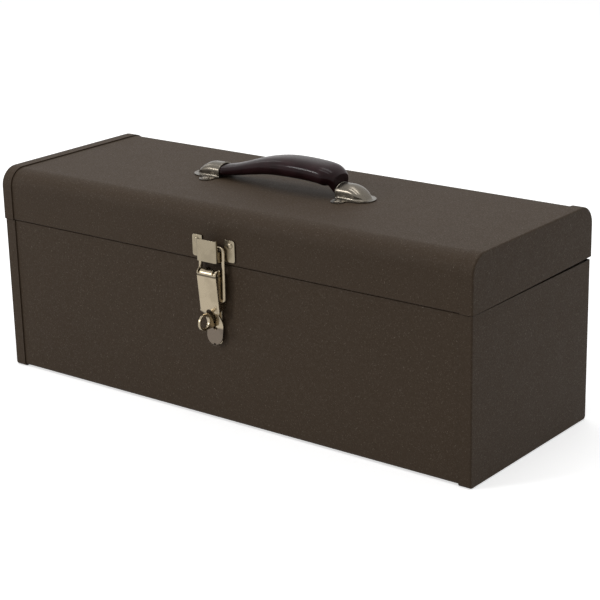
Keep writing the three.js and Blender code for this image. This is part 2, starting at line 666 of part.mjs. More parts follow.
function latchBase() {
  const plate = block([latchX - baseHalfWidth, latchX + baseHalfWidth], [baseFoot - baseSheet, baseFoot],
    [baseBottom, baseTop]);
  const ears = [-1, 1].map((side) => {
    const shape = new THREE.Shape();
    shape.moveTo(baseFoot, pivotUp - 2 * baseEarRadius);
    shape.lineTo(baseFoot, pivotUp + baseEarRadius);
    shape.lineTo(pivotY, pivotUp + baseEarRadius);
    shape.absarc(pivotY, pivotUp, baseEarRadius, Math.PI / 2, -Math.PI / 2, false);
    shape.lineTo(baseFoot, pivotUp - 2 * baseEarRadius);
    const span = [latchX + side * (baseHalfWidth - baseSheet), latchX + side * baseHalfWidth];
    return alongX(shape, [Math.min(...span), Math.max(...span)]);
  });
  const bore = bar('x', [latchX - 2 * baseHalfWidth, latchX + 2 * baseHalfWidth], [pivotY, pivotUp],
    pivotPinRadius + runGap);
  const holes = baseRivetUps.map((up) => (
    rivetHole('y', [latchX, up], [baseFoot - baseSheet - overrun, baseFoot + overrun])
  ));
  return without(joined([plate, ...ears]), [bore, ...holes]);
}

const baseRivet = (up) => (
  rivet('y', [latchX, up], baseFoot - baseSheet - seatGap, -bodySkin + sheet + seatGap)
);

const pinReach = leverHalfWidth + seatGap;
const pivotPin = () => (
  bar('x', [latchX - pinReach, latchX + pinReach], [pivotY, pivotUp], pivotPinRadius)
);

function padlockStaple() {
  const foot = block([latchX - stapleFootHalfWidth, latchX + stapleFootHalfWidth],
    [baseFoot - baseSheet, baseFoot], [stapleFootBottom, baseBottom - runGap]);
  const centreY = -bodySkin - stapleOut;
  const ring = new THREE.Shape();
  ring.moveTo(baseFoot - baseSheet / 2, stapleUp - stapleRadius);
  ring.lineTo(baseFoot - baseSheet / 2, stapleUp + stapleRadius);
  ring.lineTo(centreY, stapleUp + stapleRadius);
  ring.absarc(centreY, stapleUp, stapleRadius, Math.PI / 2, -Math.PI / 2, false);
  ring.holes.push(new THREE.Path().absarc(centreY, stapleUp, stapleHole, 0, 2 * Math.PI, true));
  const eye = alongX(ring, [latchX - stapleSheet / 2, latchX + stapleSheet / 2], ringSteps / 2);
  const low = block([latchX - stapleSheet, latchX + stapleSheet],
    [baseFoot - baseSheet - overrun, baseFoot + overrun],
    [baseBottom - runGap, baseBottom + 2 * stapleRadius]);
  const hole = rivetHole('y', [latchX, stapleRivetUp], [baseFoot - baseSheet - overrun, baseFoot + overrun]);
  return without(joined([foot, eye]), [low, hole]);
}

// The lever: a folded plate from the curl round the pivot down to the finger tab, cut to its front
// outline, with two flanges. Side shapes are given as [out, up] from the pivot.
const fromPivot = ([out, up]) => [pivotY - out, pivotUp + up];

function latchLever() {
  const curlStart = (curlTurn * Math.PI) / 180;
  const curl = [];
  for (let k = 0; k <= cornerSteps; k += 1) {
    const angle = curlStart * (1 - k / cornerSteps);
    curl.push([leverCurl * Math.cos(angle), leverCurl * Math.sin(angle)]);
  }
  const tailPath = [
    [leverPlateOut, -leverPlateDrop, tailBend],
    [-tailMidBack, -tailMidDrop, tailBend],
    [-tailDipBack, -tailDipDrop, tailBend],
    [-tailTipBack, -tailDrop],
  ];
  const path = [...curl.map((point) => fromPivot(point)),
    ...tailPath.map(([out, up, radius]) => [...fromPivot([out, up]), radius])];
  const strip = alongX(foldedSheet(path, leverSheet, 1, foldSteps),
    [latchX - leverHalfWidth, latchX + leverHalfWidth]);
  const front = new THREE.Shape();
  const neck = pivotUp - leverPlateDrop;
  const tipUp = pivotUp - tailDrop + tailHalfWidth;
  const top = pivotUp + 2 * leverCurl;
  front.moveTo(latchX - leverHalfWidth, top);
  front.lineTo(latchX - leverHalfWidth, neck);
  front.lineTo(latchX - tailHalfWidth, neck - (leverHalfWidth - tailHalfWidth));
  front.lineTo(latchX - tailHalfWidth, tipUp);
  front.absarc(latchX, tipUp, tailHalfWidth, Math.PI, 2 * Math.PI, false);
  front.lineTo(latchX + tailHalfWidth, neck - (leverHalfWidth - tailHalfWidth));
  front.lineTo(latchX + leverHalfWidth, neck);
  front.lineTo(latchX + leverHalfWidth, top);
  const slot = roundedBox([latchX - slotHalfWidth, latchX + slotHalfWidth],
    [pivotUp - slotBottomDrop, pivotUp - slotTopDrop], Array(4).fill(slotHalfWidth * slotRoundShare));
  const span = [pivotY - 2 * pivotOut, pivotY + pivotOut];
  const plate = strip.intersect(alongY(front, span)).subtract(alongY(slot, span, smallSteps));
  const inset = leverSheet / 2; // the flanges start inside the plate
  const flange = polygon([
    ...cheekShares.map(([out, up]) => [out * (leverCurl - inset), up * (leverCurl - inset)]),
    [-leverFlangeBack, -leverFlangeDrop + leverSheet], [-leverFlangeBack + leverSheet, -leverFlangeDrop],
    [leverPlateOut - inset, inset - leverPlateDrop],
  ].map(fromPivot));
  const flanges = [-1, 1].map((side) => {
    const x = [latchX + side * (leverHalfWidth - leverSheet), latchX + side * leverHalfWidth];
    return alongX(flange, [Math.min(...x), Math.max(...x)]);
  });
  const reach = [latchX - 2 * leverHalfWidth, latchX + 2 * leverHalfWidth];
  const pinHole = bar('x', reach, [pivotY, pivotUp], pivotPinRadius + runGap);
  const eyes = bar('x', reach, fromPivot([-eyeBack, -eyeDrop]), bailRadius + runGap);
  // the base's ears stand in slots beside the curl, so that it can turn past them
  const earSlots = [-1, 1].map((side) => {
    const x = [baseHalfWidth - baseSheet - runGap, baseHalfWidth + runGap]
      .map((reach) => latchX + side * reach);
    return block([Math.min(...x), Math.max(...x)],
      [pivotY - leverCurl * earSlotFrontShare, pivotY + 2 * leverCurl],
      [pivotUp + leverCurl * earSlotFootShare, pivotUp + 2 * leverCurl]);
  });
  return without(joined([plate, ...flanges]), [pinHole, eyes, ...earSlots]);
}

// The bail: one bent wire from eye to eye over the strike
function latchBail() {
  const [eyeY, eyeZ] = fromPivot([-eyeBack, -eyeDrop]);
  const barY = -bodySkin - barOut;
  const place = (x, y, z) => new THREE.Vector3(latchX + x, y, z);
  const corners = [
    place(-bailHalfWidth + bailTuck, eyeY, eyeZ), place(-bailHalfWidth, eyeY, eyeZ),
    place(-bailHalfWidth, barY, barUp), place(bailHalfWidth, barY, barUp),
    place(bailHalfWidth, eyeY, eyeZ), place(bailHalfWidth - bailTuck, eyeY, eyeZ),
  ];
  const path = new THREE.CurvePath();
  let last = corners[0];
  for (let i = 1; i < corners.length; i += 1) {
    const bend = i === 1 || i === corners.length - 2 ? bailEyeBend : bailBend;
    const next = corners[i + 1];
    const into = corners[i].clone().sub(last).setLength(bend);
    if (!next) {
      path.add(new THREE.LineCurve3(last, corners[i]));
      break;
    }
    const start = corners[i].clone().sub(into);
    const end = corners[i].clone().add(next.clone().sub(corners[i]).setLength(bend));
    path.add(new THREE.LineCurve3(last, start));
    path.add(new THREE.QuadraticBezierCurve3(start, corners[i], end));
    last = end;
  }
  const section = superellipse(wireSides, 2);
  const wire = new THREE.Shape(section.getPoints().map((point) => point.multiplyScalar(bailRadius)));
  return solid(new THREE.ExtrudeGeometry(wire, { steps: wireSteps, bevelEnabled: false, extrudePath: path }));
}

// Tray and what it rests on
const wrapperInside = bodySkin - hemReach;
const trayHalfDepth = Math.min(wrapperInside, leafFront) - traySideGap;
const trayHalfLength = bodyHalfLength - hemReach - traySideGap;
const trayTop = seamHeight - trayTopDrop;
const trayBottom = trayTop - trayHeight;

function trayPan() {
  const box = (inset, span) => alongZ(roundedBox(
    [-trayHalfLength + inset, trayHalfLength - inset], [-trayHalfDepth + inset, trayHalfDepth - inset],
    Array(4).fill(trayCorner - inset)), span, foldSteps);
  const wall = trayRim - sheet; // the wall stands this far inside the rim
  const shell = box(wall, [trayBottom, trayTop]);
  const rim = box(0, [trayTop - trayRimHeight, trayTop]);
  const hollow = box(wall + sheet, [trayBottom + sheet, trayTop + overrun]);
  const holes = trayRivetPlaces.map((at) => rivetHole('y', at.slice(0, 2),
    [at[2] * trayHalfDepth - trayRim - overrun, at[2] * trayHalfDepth + trayRim + overrun]));
  return without(joined([shell, rim]), [hollow, ...holes]);
}

const trayRivetPlaces = [-1, 1].flatMap((side) => [[0, trayTop - trayRivetDrop, side]]);
const trayWallInside = trayHalfDepth - trayRim;

// A strap that rises over the tray from one long wall to the other
function trayHandle() {
  const foot = trayWallInside - seatGap;
  const outline = foldedSheet([
    [-foot, trayTop - trayHandleFoot], [-foot, trayTop + trayHandleRise, trayHandleBend],
    [foot, trayTop + trayHandleRise, trayHandleBend], [foot, trayTop - trayHandleFoot],
  ], trayHandleSheet, -1);
  const strap = alongX(outline, [-trayHandleWidth / 2, trayHandleWidth / 2]);
  return without(strap, trayRivetPlaces.map((at) => (
    rivetHole('y', at.slice(0, 2), [-overrun - foot, -foot + trayHandleSheet + overrun].map((y) => -at[2] * y)
      .sort((a, b) => a - b))
  )));
}

function trayRivet([x, z, side]) {
  const outside = side * (trayHalfDepth - trayRim + sheet + seatGap);
  const inside = side * (trayWallInside - seatGap - trayHandleSheet - seatGap);
  return rivet('y', [x, z], inside, outside);
}

function trayLedge(side) {
  const wall = bodyHalfLength - sheet - seatGap;
  const span = [-wrapperInside + ledgeSetback, wrapperInside - ledgeSetback];
  const top = trayBottom - runGap;
  const upright = block([wall - sheet, wall], span, [top - ledgeHeight, top]);
  const shelf = block([wall - ledgeWidth, wall], span, [top - sheet, top]);
  return mirrored(upright.add(shelf), side);
}

// A group that turns or slides about its own pivot; the meshes are drawn in the part's frame
function movingGroup(pivot, meshes) {
  const group = new THREE.Group();
  group.position.set(...pivot);
  for (const mesh of meshes) mesh.position.set(-pivot[0], -pivot[1], -pivot[2]);
  group.add(...meshes);
  return group;
}

const chest = new THREE.Group();
chest.add(
  piece('body_wrapper', bodyWrapper(), paint),
  piece('body_end_left', bodyEnd(-1), paint),
  piece('body_end_right', bodyEnd(1), paint),
  piece('hinge_leaf_lower', hingeLeaf('lower'), steel),
  piece('hinge_pin', hingePin(), steel),
  piece('tray_ledge_left', trayLedge(-1), paint),
  piece('tray_ledge_right', trayLedge(1), paint),
  piece('latch_base', latchBase(), nickel),
  ...baseRivetUps.map((up, i) => piece(`latch_base_rivet_${i + 1}`, baseRivet(up), nickel)),
  piece('staple_rivet', baseRivet(stapleRivetUp), nickel),
  piece('latch_pivot_pin', pivotPin(), nickel),
  piece('padlock_staple', padlockStaple(), nickel),
);

const lid = movingGroup([0, hingeY, seamHeight], [
  piece('lid_wrapper', lidWrapper(), paint),
  piece('lid_end_left', lidEnd(-1), paint),
  piece('lid_end_right', lidEnd(1), paint),
  piece('hinge_leaf_upper', hingeLeaf('upper'), steel),
  piece('latch_strike', latchStrike(), nickel),
  ...strikeRivetPlaces.map((at, i) => piece(`strike_rivet_${i + 1}`, strikeRivet(at), nickel)),
  piece('handle_cap_left', handleCap(-1), nickel),
  piece('handle_cap_right', handleCap(1), nickel),
  ...handleRivetPlaces.map((at, i) => piece(`handle_rivet_${i + 1}`, handleRivet(at), nickel)),
]);

const handle = movingGroup([handleX, 0, lidTopSkin], [
  piece('handle_grip', handleGrip(), vinyl),
  piece('handle_core', handleCore(), steel),
]);

const lever = movingGroup([latchX, pivotY, pivotUp], [piece('latch_lever', latchLever(), nickel)]);
const bail = movingGroup([latchX, ...fromPivot([-eyeBack, -eyeDrop])], [
  piece('latch_bail', latchBail(), nickel),
]);

const tray = movingGroup([0, 0, trayBottom], [
  piece('tray_pan', trayPan(), trayPaint),
  piece('tray_handle', trayHandle(), steel),
  ...trayRivetPlaces.map((at, i) => piece(`tray_rivet_${i + 1}`, trayRivet(at), steel)),
]);

// The origin is under the middle of the whole object, so the shell stands back from it by half of what
// the latch's ring reaches in front
const frontReach = bodySkin + stapleOut + stapleRadius;
const backReach = hingeY + barrelRadius;
const group = new THREE.Group();
group.add(chest, lid, handle, lever, bail, tray);
group.position.y = (frontReach - backReach) / 2;

export default group;
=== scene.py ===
import json
import math

import bmesh
import bpy
from mathutils import Matrix, Vector

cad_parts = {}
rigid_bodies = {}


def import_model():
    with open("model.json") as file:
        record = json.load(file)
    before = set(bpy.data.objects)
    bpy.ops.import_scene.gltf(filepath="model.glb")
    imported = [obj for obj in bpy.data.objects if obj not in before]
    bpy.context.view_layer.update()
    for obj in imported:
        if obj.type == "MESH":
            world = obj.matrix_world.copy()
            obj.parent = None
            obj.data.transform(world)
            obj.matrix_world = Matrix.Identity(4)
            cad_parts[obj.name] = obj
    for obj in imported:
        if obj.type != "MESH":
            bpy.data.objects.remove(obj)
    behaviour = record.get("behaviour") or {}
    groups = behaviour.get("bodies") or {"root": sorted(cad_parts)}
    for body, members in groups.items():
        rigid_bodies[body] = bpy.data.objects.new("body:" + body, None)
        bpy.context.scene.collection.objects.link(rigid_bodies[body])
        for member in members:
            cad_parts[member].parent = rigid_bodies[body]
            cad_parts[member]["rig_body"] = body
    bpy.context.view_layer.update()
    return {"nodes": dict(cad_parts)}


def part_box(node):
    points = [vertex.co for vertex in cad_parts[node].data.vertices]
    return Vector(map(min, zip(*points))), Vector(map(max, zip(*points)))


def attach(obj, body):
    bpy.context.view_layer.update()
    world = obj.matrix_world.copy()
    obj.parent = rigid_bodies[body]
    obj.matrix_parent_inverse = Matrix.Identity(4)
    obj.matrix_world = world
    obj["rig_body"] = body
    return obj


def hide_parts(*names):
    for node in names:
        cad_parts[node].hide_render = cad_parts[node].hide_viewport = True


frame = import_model()
print("frame loaded")

# The pieces are drawn in millimetres round the middle of the shell's floor, and then put into the frame
shellBack = sum(corner.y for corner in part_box("lid_end_left")) / 2
intoFrame = Matrix.Translation((0, shellBack, 0)) @ Matrix.Scale(0.001, 4)

bodyShell = {"halfLength": 253.4, "halfDepth": 90.7, "skin": 89.6, "top": 142.1, "backTop": 140.0,
             "floorSkin": 1.1, "floorRound": 3.2}
lidShell = {"halfLength": 254.2, "halfDepth": 91.5, "skin": 90.4, "top": 190.0, "topSkin": 188.9,
            "bottom": 142.7, "backBottom": 144.8, "edgeRound": 17.0}
sheetMetal = {"thick": 0.9, "flange": 11.7, "bend": 1.5, "bendSteps": 5, "lap": 1.1, "hemReach": 2.2,
              "hemHeight": 7.0, "hemFold": 1.1, "floorBend": 3.0, "roundSteps": 12, "edge": 0.22}


# One output of a node, so that sums written on it become Math nodes
class Signal:
    def __init__(self, nodes, socket):
        self.nodes, self.socket = nodes, socket

    def calc(self, operation, first, second):
        return self.nodes.node("ShaderNodeMath", {"operation": operation}, {0: first, 1: second})

    def __add__(self, other):
        return self.calc("ADD", self, other)

    def __radd__(self, other):
        return self.calc("ADD", other, self)

    def __sub__(self, other):
        return self.calc("SUBTRACT", self, other)

    def __mul__(self, other):
        return self.calc("MULTIPLY", self, other)

    def __rmul__(self, other):
        return self.calc("MULTIPLY", other, self)


# A tree of nodes: each is made with its own settings, then the values or links of its sockets
class NodeTree:
    def __init__(self, tree):
        self.tree = tree
        tree.nodes.clear()

    def node(self, kind, settings, sockets, output=0):
        made = self.tree.nodes.new(kind)
        for key, value in settings.items():
            setattr(made, key, value)
        for key, value in sockets.items():
            if isinstance(value, Signal):
                self.tree.links.new(value.socket, made.inputs[key])
            else:
                made.inputs[key].default_value = value
        return Signal(self, made.outputs[output]) if made.outputs else None

    # True for rays that show the surroundings: to the camera, in metal and through glass
    def seenRays(self):
        camera, metal, glass = (self.node("ShaderNodeLightPath", {}, {}, "Is " + kind + " Ray")
                                for kind in ("Camera", "Glossy", "Transmission"))
        return camera + metal + glass


# A material on one principled shader
class Look(NodeTree):
    def __init__(self, name, **fixed):
        self.material = bpy.data.materials.new(name)
        self.material.use_nodes = True
        super().__init__(self.material.node_tree)
        self.shader = self.node("ShaderNodeBsdfPrincipled", {}, fixed)
        self.place = self.node("ShaderNodeTexCoord", {}, {}, "Object")

    def finished(self, surface=None):
        self.node("ShaderNodeOutputMaterial", {}, {0: surface or self.shader})
        return self.material

    def noise(self, scale, detail=3.0, roughness=0.5, distortion=0.0, place=None):
        return self.node("ShaderNodeTexNoise", {}, {
            "Vector": place or self.place, "Scale": scale, "Detail": detail,
            "Roughness": roughness, "Distortion": distortion})

    # Spreads a noise's middle part over 0 to 1
    def spread(self, value, low, high):
        return self.node("ShaderNodeMapRange", {"interpolation_type": "SMOOTHSTEP"}, {
            "Value": value, "From Min": low, "From Max": high})

    def blend(self, share, first, second):
        return self.node("ShaderNodeMix", {"data_type": "RGBA"}, {0: share, 6: first, 7: second}, 2)

    def stretched(self, scale):
        return self.node("ShaderNodeMapping", {}, {"Vector": self.place, "Scale": scale})

    def feed(self, **sockets):
        for key, value in sockets.items():
            self.tree.links.new(value.socket, self.shader.socket.node.inputs[key.replace("_", " ")])

    def bump(self, height, strength, distance):
        self.feed(Normal=self.node("ShaderNodeBump", {}, {
            "Height": height, "Strength": strength, "Distance": distance}))


def rgb(red, green, blue):
    return (red, green, blue, 1.0)


# Wrinkle coat: a crust of fine folds, with crests painted lighter as a painted highlight, specks painted
# light as painted glints, and a slow drift of tone
coat = {"dark": rgb(0.0365, 0.0228, 0.0122), "light": rgb(0.0455, 0.0292, 0.0165), "wrinkle": 820, "drift": 7,
        "rough": 0.70, "bump": 0.50, "depth": 0.00032, "speck": rgb(0.23, 0.19, 0.15), "specks": 0.70}


def wrinkleCoat(name, dark, light):
    look = Look(name, **{"Specular IOR Level": 0.20})
    folds = look.noise(coat["wrinkle"], 4.0, 0.62, 0.9)
    grain = look.noise(coat["wrinkle"] * 2.6, 2.0, 0.5)
    drift = look.noise(coat["drift"], 3.0, 0.55)
    patches = look.noise(coat["drift"] * 9, 3.0, 0.6)
    # the crests of the folds: painted lighter as a painted highlight, and also made glossier
    crestHighlightAndGloss = look.spread(folds, 0.40, 0.66)
    tone = look.blend(look.spread(drift * 0.6 + patches * 0.4, 0.30, 0.70) * 0.30 + crestHighlightAndGloss * 0.55, dark, light)
    # specks painted light in the base colour: painted glints
    specks = look.spread(grain * 0.5 + folds * 0.5, 0.600, 0.680)
    look.feed(Base_Color=look.blend(specks * coat["specks"], tone, coat["speck"]),
              Roughness=coat["rough"] + 0.03 * look.spread(patches, 0.3, 0.7) - 0.14 * crestHighlightAndGloss)
    look.bump(folds * 0.7 + grain * 0.3, coat["bump"], coat["depth"])
    return look.finished()


# Nickel plate: warm, with faint polishing lines and a little haze; on the lever the finger tab is rougher and
# painted darker as painted shade, and the crease under its curl is painted dark as a painted shadow
plate = {"clean": rgb(0.355, 0.298, 0.212), "dull": rgb(0.275, 0.229, 0.160), "rough": 0.21, "haze": 0.10,
         # the strike's tones: a darker copy of the same nickel, painted shade for its darker reflections
         "strike": (rgb(0.275, 0.234, 0.167), rgb(0.222, 0.188, 0.133)),
         # the hoods' tones: a much darker copy of the same nickel, painted shade for their darker reflections
         "hood": (rgb(0.150, 0.133, 0.109), rgb(0.110, 0.096, 0.077)),
         "worn": rgb(0.140, 0.114, 0.090), "wornBelow": (0.0868, 0.0846), "grime": rgb(0.050, 0.040, 0.028),
         "creaseTop": (0.1349, 0.1341), "creaseFoot": (0.1325, 0.1333), "bump": 0.10, "depth": 0.00008}


def nickelPlate(name, clean, dull, across=(1.0, 1.0, 0.06), worn=False):
    look = Look(name, **{"Metallic": 1.0})
    lines = look.noise(260, 2.0, 0.5, 0.0, look.stretched(across))
    haze = look.noise(90, 4.0, 0.6)
    waves = look.noise(210, 2.0, 0.5)
    spots = look.spread(haze, 0.44, 0.70)
    tone = look.blend(spots * 0.6, clean, dull)
    rough = plate["rough"] + plate["haze"] * spots + 0.08 * look.spread(lines, 0.35, 0.7)
    if worn:
        height = look.node("ShaderNodeSeparateXYZ", {}, {0: look.place}, 2)
        # below a height the finger tab is painted darker as painted shade, and made rougher
        tabShadeAndDull = look.spread(height, *plate["wornBelow"])
        # a narrow band under the curl painted dark: a painted shadow in the crease
        crease = look.spread(height, *plate["creaseTop"]) * look.spread(height, *plate["creaseFoot"])
        tone = look.blend(crease * 0.85, look.blend(tabShadeAndDull, tone, plate["worn"]), plate["grime"])
        rough = rough + 0.12 * tabShadeAndDull
    look.feed(Base_Color=tone, Roughness=rough)
    look.bump(waves * 0.7 + lines * 0.3, plate["bump"], plate["depth"])
    return look.finished()


# Moulded grip: glossy burgundy with a mottled depth of colour
vinyl = {"dark": rgb(0.0120, 0.0040, 0.0046), "light": rgb(0.0235, 0.0085, 0.0100), "rough": 0.30,
         "coat": 0.24, "coatRough": 0.06, "bump": 0.12, "depth": 0.00030}


def mouldedVinyl(name):
    look = Look(name, **{"Coat Weight": vinyl["coat"], "Coat Roughness": vinyl["coatRough"], "Coat IOR": 1.3,
                         "Specular IOR Level": 0.08})
    mottle = look.noise(38, 4.0, 0.6, 0.4)
    pebble = look.noise(620, 2.0, 0.5)
    wear = look.spread(look.noise(75, 3.0, 0.6), 0.48, 0.72)
    look.feed(Base_Color=look.blend(look.spread(mottle, 0.34, 0.66), vinyl["dark"], vinyl["light"]),
              Roughness=vinyl["rough"] + 0.16 * wear + 0.08 * look.spread(pebble, 0.4, 0.7))
    look.bump(mottle * 0.6 + pebble * 0.12, vinyl["bump"], vinyl["depth"])
    return look.finished()


# Plain zinc-plated steel, drawn along its length
zinc = {"clean": rgb(0.50, 0.50, 0.495), "dull": rgb(0.33, 0.325, 0.31), "rough": 0.34}


def zincSteel(name, across):
    look = Look(name, **{"Metallic": 1.0})
    lines = look.noise(700, 3.0, 0.6, 0.0, look.stretched(across))
    cloud = look.noise(60, 4.0, 0.6)
    look.feed(Base_Color=look.blend(look.spread(cloud, 0.4, 0.68), zinc["clean"], zinc["dull"]),
              Roughness=zinc["rough"] + 0.14 * look.spread(lines, 0.35, 0.65) + 0.06 * cloud)
    look.bump(lines, 0.12, 0.00006)
    return look.finished()


looks = {
    "coat": wrinkleCoat("wrinkleCoat", coat["dark"], coat["light"]),
    "trayCoat": wrinkleCoat("trayCoat", rgb(0.043, 0.033, 0.027), rgb(0.064, 0.050, 0.042)),
    "nickel": nickelPlate("nickelPlate", plate["clean"], plate["dull"]),
    # the lever's copy carries the painted shade on its tab and the painted shadow in its crease
    "leverNickel": nickelPlate("leverNickel", plate["clean"], plate["dull"], worn=True),
    # the strike's nickel: the same plate painted darker as painted shade
    "strikeNickel": nickelPlate("strikeNickel", *plate["strike"]),
    # the hoods' nickel: the same plate painted much darker as painted shade
    "hoodNickel": nickelPlate("hoodNickel", *plate["hood"], across=(0.06, 1.0, 1.0)),
    "vinyl": mouldedVinyl("mouldedVinyl"),
    "steel": zincSteel("zincSteel", (0.03, 1.0, 1.0)),
}
print("materials made")


def vertsOf(geom):
    return [g for g in geom if isinstance(g, bmesh.types.BMVert)]


def everything(bm):
    return [*bm.verts, *bm.edges, *bm.faces]


def smooth(share):
    return share * share * (3 - 2 * share)


# The sine and cosine at the steps of a quarter turn, with both of its ends
def quarterTurn(steps):
    angles = [k / steps * math.pi / 2 for k in range(steps + 1)]
    return [(math.sin(angle), math.cos(angle)) for angle in angles]


def bendCorners(bm, corners, steps):
    for vert, radius in corners:
        bmesh.ops.bevel(bm, geom=[vert], offset=radius, offset_type="OFFSET", segments=steps, profile=0.5,
                        affect="VERTICES", material=-1)


# A chain of edges through points, each an (x, y, z) with the radius it is bent to, or 0
def chain(bm, points, steps, closed=False):
    verts = [bm.verts.new(point[:3]) for point in points]
    loop = verts + verts[:1] if closed else verts
    for first, second in zip(loop, loop[1:]):
        bm.edges.new((first, second))
    bendCorners(bm, [(vert, point[3]) for vert, point in zip(verts, points) if point[3] > 0], steps)
    return list(bm.edges)


# The points of a bent chain in order, from its first one on
def pathThrough(points, steps):
    bm = bmesh.new()
    chain(bm, points, steps)
    start = min((v for v in bm.verts if len(v.link_edges) == 1),
                key=lambda v: (v.co - Vector(points[0][:3])).length)
    found, last = [start], None
    while True:
        here = found[-1]
        ahead = [e.other_vert(here) for e in here.link_edges if e.other_vert(here) is not last]
        if not ahead:
            break
        last = here
        found.append(ahead[0])
    path = [v.co.copy() for v in found]
    bm.free()
    return path


def extruded(bm, edges, move):
    made = bmesh.ops.extrude_edge_only(bm, edges=edges)["geom"]
    bmesh.ops.translate(bm, verts=vertsOf(made), vec=Vector(move))


# Draws flat faces out into a solid
def drawnOut(bm, move):
    made = bmesh.ops.extrude_face_region(bm, geom=list(bm.faces))["geom"]
    bmesh.ops.translate(bm, verts=vertsOf(made), vec=Vector(move))
    bmesh.ops.recalc_face_normals(bm, faces=bm.faces)


# A flat plate: its outline as points with radii, drawn out by move
def plateFrom(bm, points, move, steps=6):
    one = bmesh.new()
    edges = chain(one, points, steps, closed=True)
    bmesh.ops.contextual_create(one, geom=edges)
    drawnOut(one, move)
    addTo(bm, one)


# Puts the mesh of one bmesh into another
def addTo(bm, one):
    carrier = bpy.data.meshes.new("carrier")
    one.to_mesh(carrier)
    one.free()
    bm.from_mesh(carrier)
    bpy.data.meshes.remove(carrier)


# Turns an open sheet so that its faces look away from a point inside it
def faceAway(bm, inside):
    bmesh.ops.recalc_face_normals(bm, faces=bm.faces)
    total = sum((f.calc_center_median() - Vector(inside)).dot(f.normal) * f.calc_area() for f in bm.faces)
    if total < 0:
        bmesh.ops.reverse_faces(bm, faces=bm.faces)


# Rows of points, each joined to the one before it; gives the edges of the first row and of the last
def loft(bm, rows, closed=False):
    verts = [bm.verts.new(point) for point in rows[0]]
    ring = verts[1:] + verts[:1] if closed else verts[1:]
    first = edges = [bm.edges.new(pair) for pair in zip(verts, ring)]
    for row in rows[1:]:
        made = bmesh.ops.extrude_edge_only(bm, edges=edges)["geom"]
        edges = [g for g in made if isinstance(g, bmesh.types.BMEdge)]
        for vert, point in zip(vertsOf(made), row):
            vert.co = point
    return first, edges


# A ring drawn along matrices: each one places the section's points
def sweep(bm, section, places, capped=True):
    one = bmesh.new()
    ends = loft(one, [[place @ point for point in section] for place in places], closed=True)
    if capped:
        for edges in ends:
            bmesh.ops.contextual_create(one, geom=edges)
    bmesh.ops.recalc_face_normals(one, faces=one.faces)
    addTo(bm, one)


def circleSection(radius, count):
    angles = [2 * math.pi * k / count for k in range(count)]
    return [Vector((radius * math.cos(angle), radius * math.sin(angle), 0)) for angle in angles]


# Mirrors the right half of a piece to the left and joins the two at X = 0
def mirrored(bm):
    bmesh.ops.mirror(bm, geom=everything(bm), axis="X", merge_dist=0.01)


def flipped(bm):
    bmesh.ops.scale(bm, vec=(-1, 1, 1), verts=bm.verts)
    bmesh.ops.reverse_faces(bm, faces=bm.faces)


# Places along a path: Z runs along it, and X stays with the given side
def placesAlong(path, side):
    places = []
    for k, point in enumerate(path):
        along = (path[min(k + 1, len(path) - 1)] - path[max(k - 1, 0)]).normalized()
        across = (side - along * side.dot(along)).normalized()
        up = along.cross(across)
        turn = Matrix((across, up, along)).transposed().to_4x4()
        places.append(Matrix.Translation(point) @ turn)
    return places


# A profile of (radius, height) points spun about Z, then placed
def spun(bm, profile, place, steps):
    one = bmesh.new()
    verts = [one.verts.new((radius, 0, height)) for radius, height in profile]
    edges = [one.edges.new(pair) for pair in zip(verts, verts[1:])]
    bmesh.ops.spin(one, geom=verts + edges, cent=(0, 0, 0), axis=(0, 0, 1), angle=2 * math.pi, steps=steps,
                   use_merge=True)
    bmesh.ops.remove_doubles(one, verts=one.verts, dist=1e-4)
    bmesh.ops.recalc_face_normals(one, faces=one.faces)
    bmesh.ops.transform(one, matrix=place, verts=one.verts)
    addTo(bm, one)


# Makes the object, puts it in the frame and has it stand for its CAD nodes
def finishPiece(name, bm, nodes, look, thick=0.0, edge=0.0, edgeSteps=2, sharp=40, inFrame=False):
    if not inFrame:
        bmesh.ops.transform(bm, matrix=intoFrame, verts=bm.verts)
    mesh = bpy.data.meshes.new(name)
    bm.to_mesh(mesh)
    bm.free()
    piece = bpy.data.objects.new(name, mesh)
    bpy.context.scene.collection.objects.link(piece)
    mesh.materials.append(looks[look])
    mesh.shade_smooth()
    if thick:
        wall = piece.modifiers.new("wall", "SOLIDIFY")
        wall.thickness, wall.offset, wall.use_even_offset = thick * 0.001, -1.0, False
    if edge:
        rub = piece.modifiers.new("edges", "BEVEL")
        rub.width, rub.segments, rub.limit_method = edge * 0.001, edgeSteps, "ANGLE"
        rub.angle_limit, rub.use_clamp_overlap = math.radians(sharp), True
        rub.miter_outer = "MITER_ARC"
        shade = piece.modifiers.new("shading", "WEIGHTED_NORMAL")
        shade.keep_sharp, shade.weight = False, 60
    else:
        mesh.set_sharp_from_angle(angle=math.radians(sharp))
    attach(piece, frame["nodes"][nodes[0]]["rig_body"])
    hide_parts(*nodes)


# The folded wrappers
def wrapperPiece(name, node, points, halfLength, inside):
    bm = bmesh.new()
    edges = chain(bm, [(-halfLength, y, z, radius) for y, z, radius in points], sheetMetal["roundSteps"])
    extruded(bm, edges, (2 * halfLength, 0, 0))
    faceAway(bm, inside)
    finishPiece(name, bm, [node], "coat", thick=sheetMetal["thick"], edge=sheetMetal["edge"])


def bodyWrapper():
    skin, top, floor = (bodyShell[key] for key in ("skin", "top", "floorSkin"))
    hem, fold, bend = -skin + sheetMetal["hemReach"], sheetMetal["hemFold"], sheetMetal["floorBend"]
    wrapperPiece("bodyWrapper", "body_wrapper", [
        (hem, top - sheetMetal["hemHeight"], 0), (hem, top, fold), (-skin, top, fold),
        (-skin, floor, bend), (skin, floor, bend), (skin, bodyShell["backTop"], 0)],
        bodyShell["halfLength"] - sheetMetal["lap"], (0, 0, top / 2))


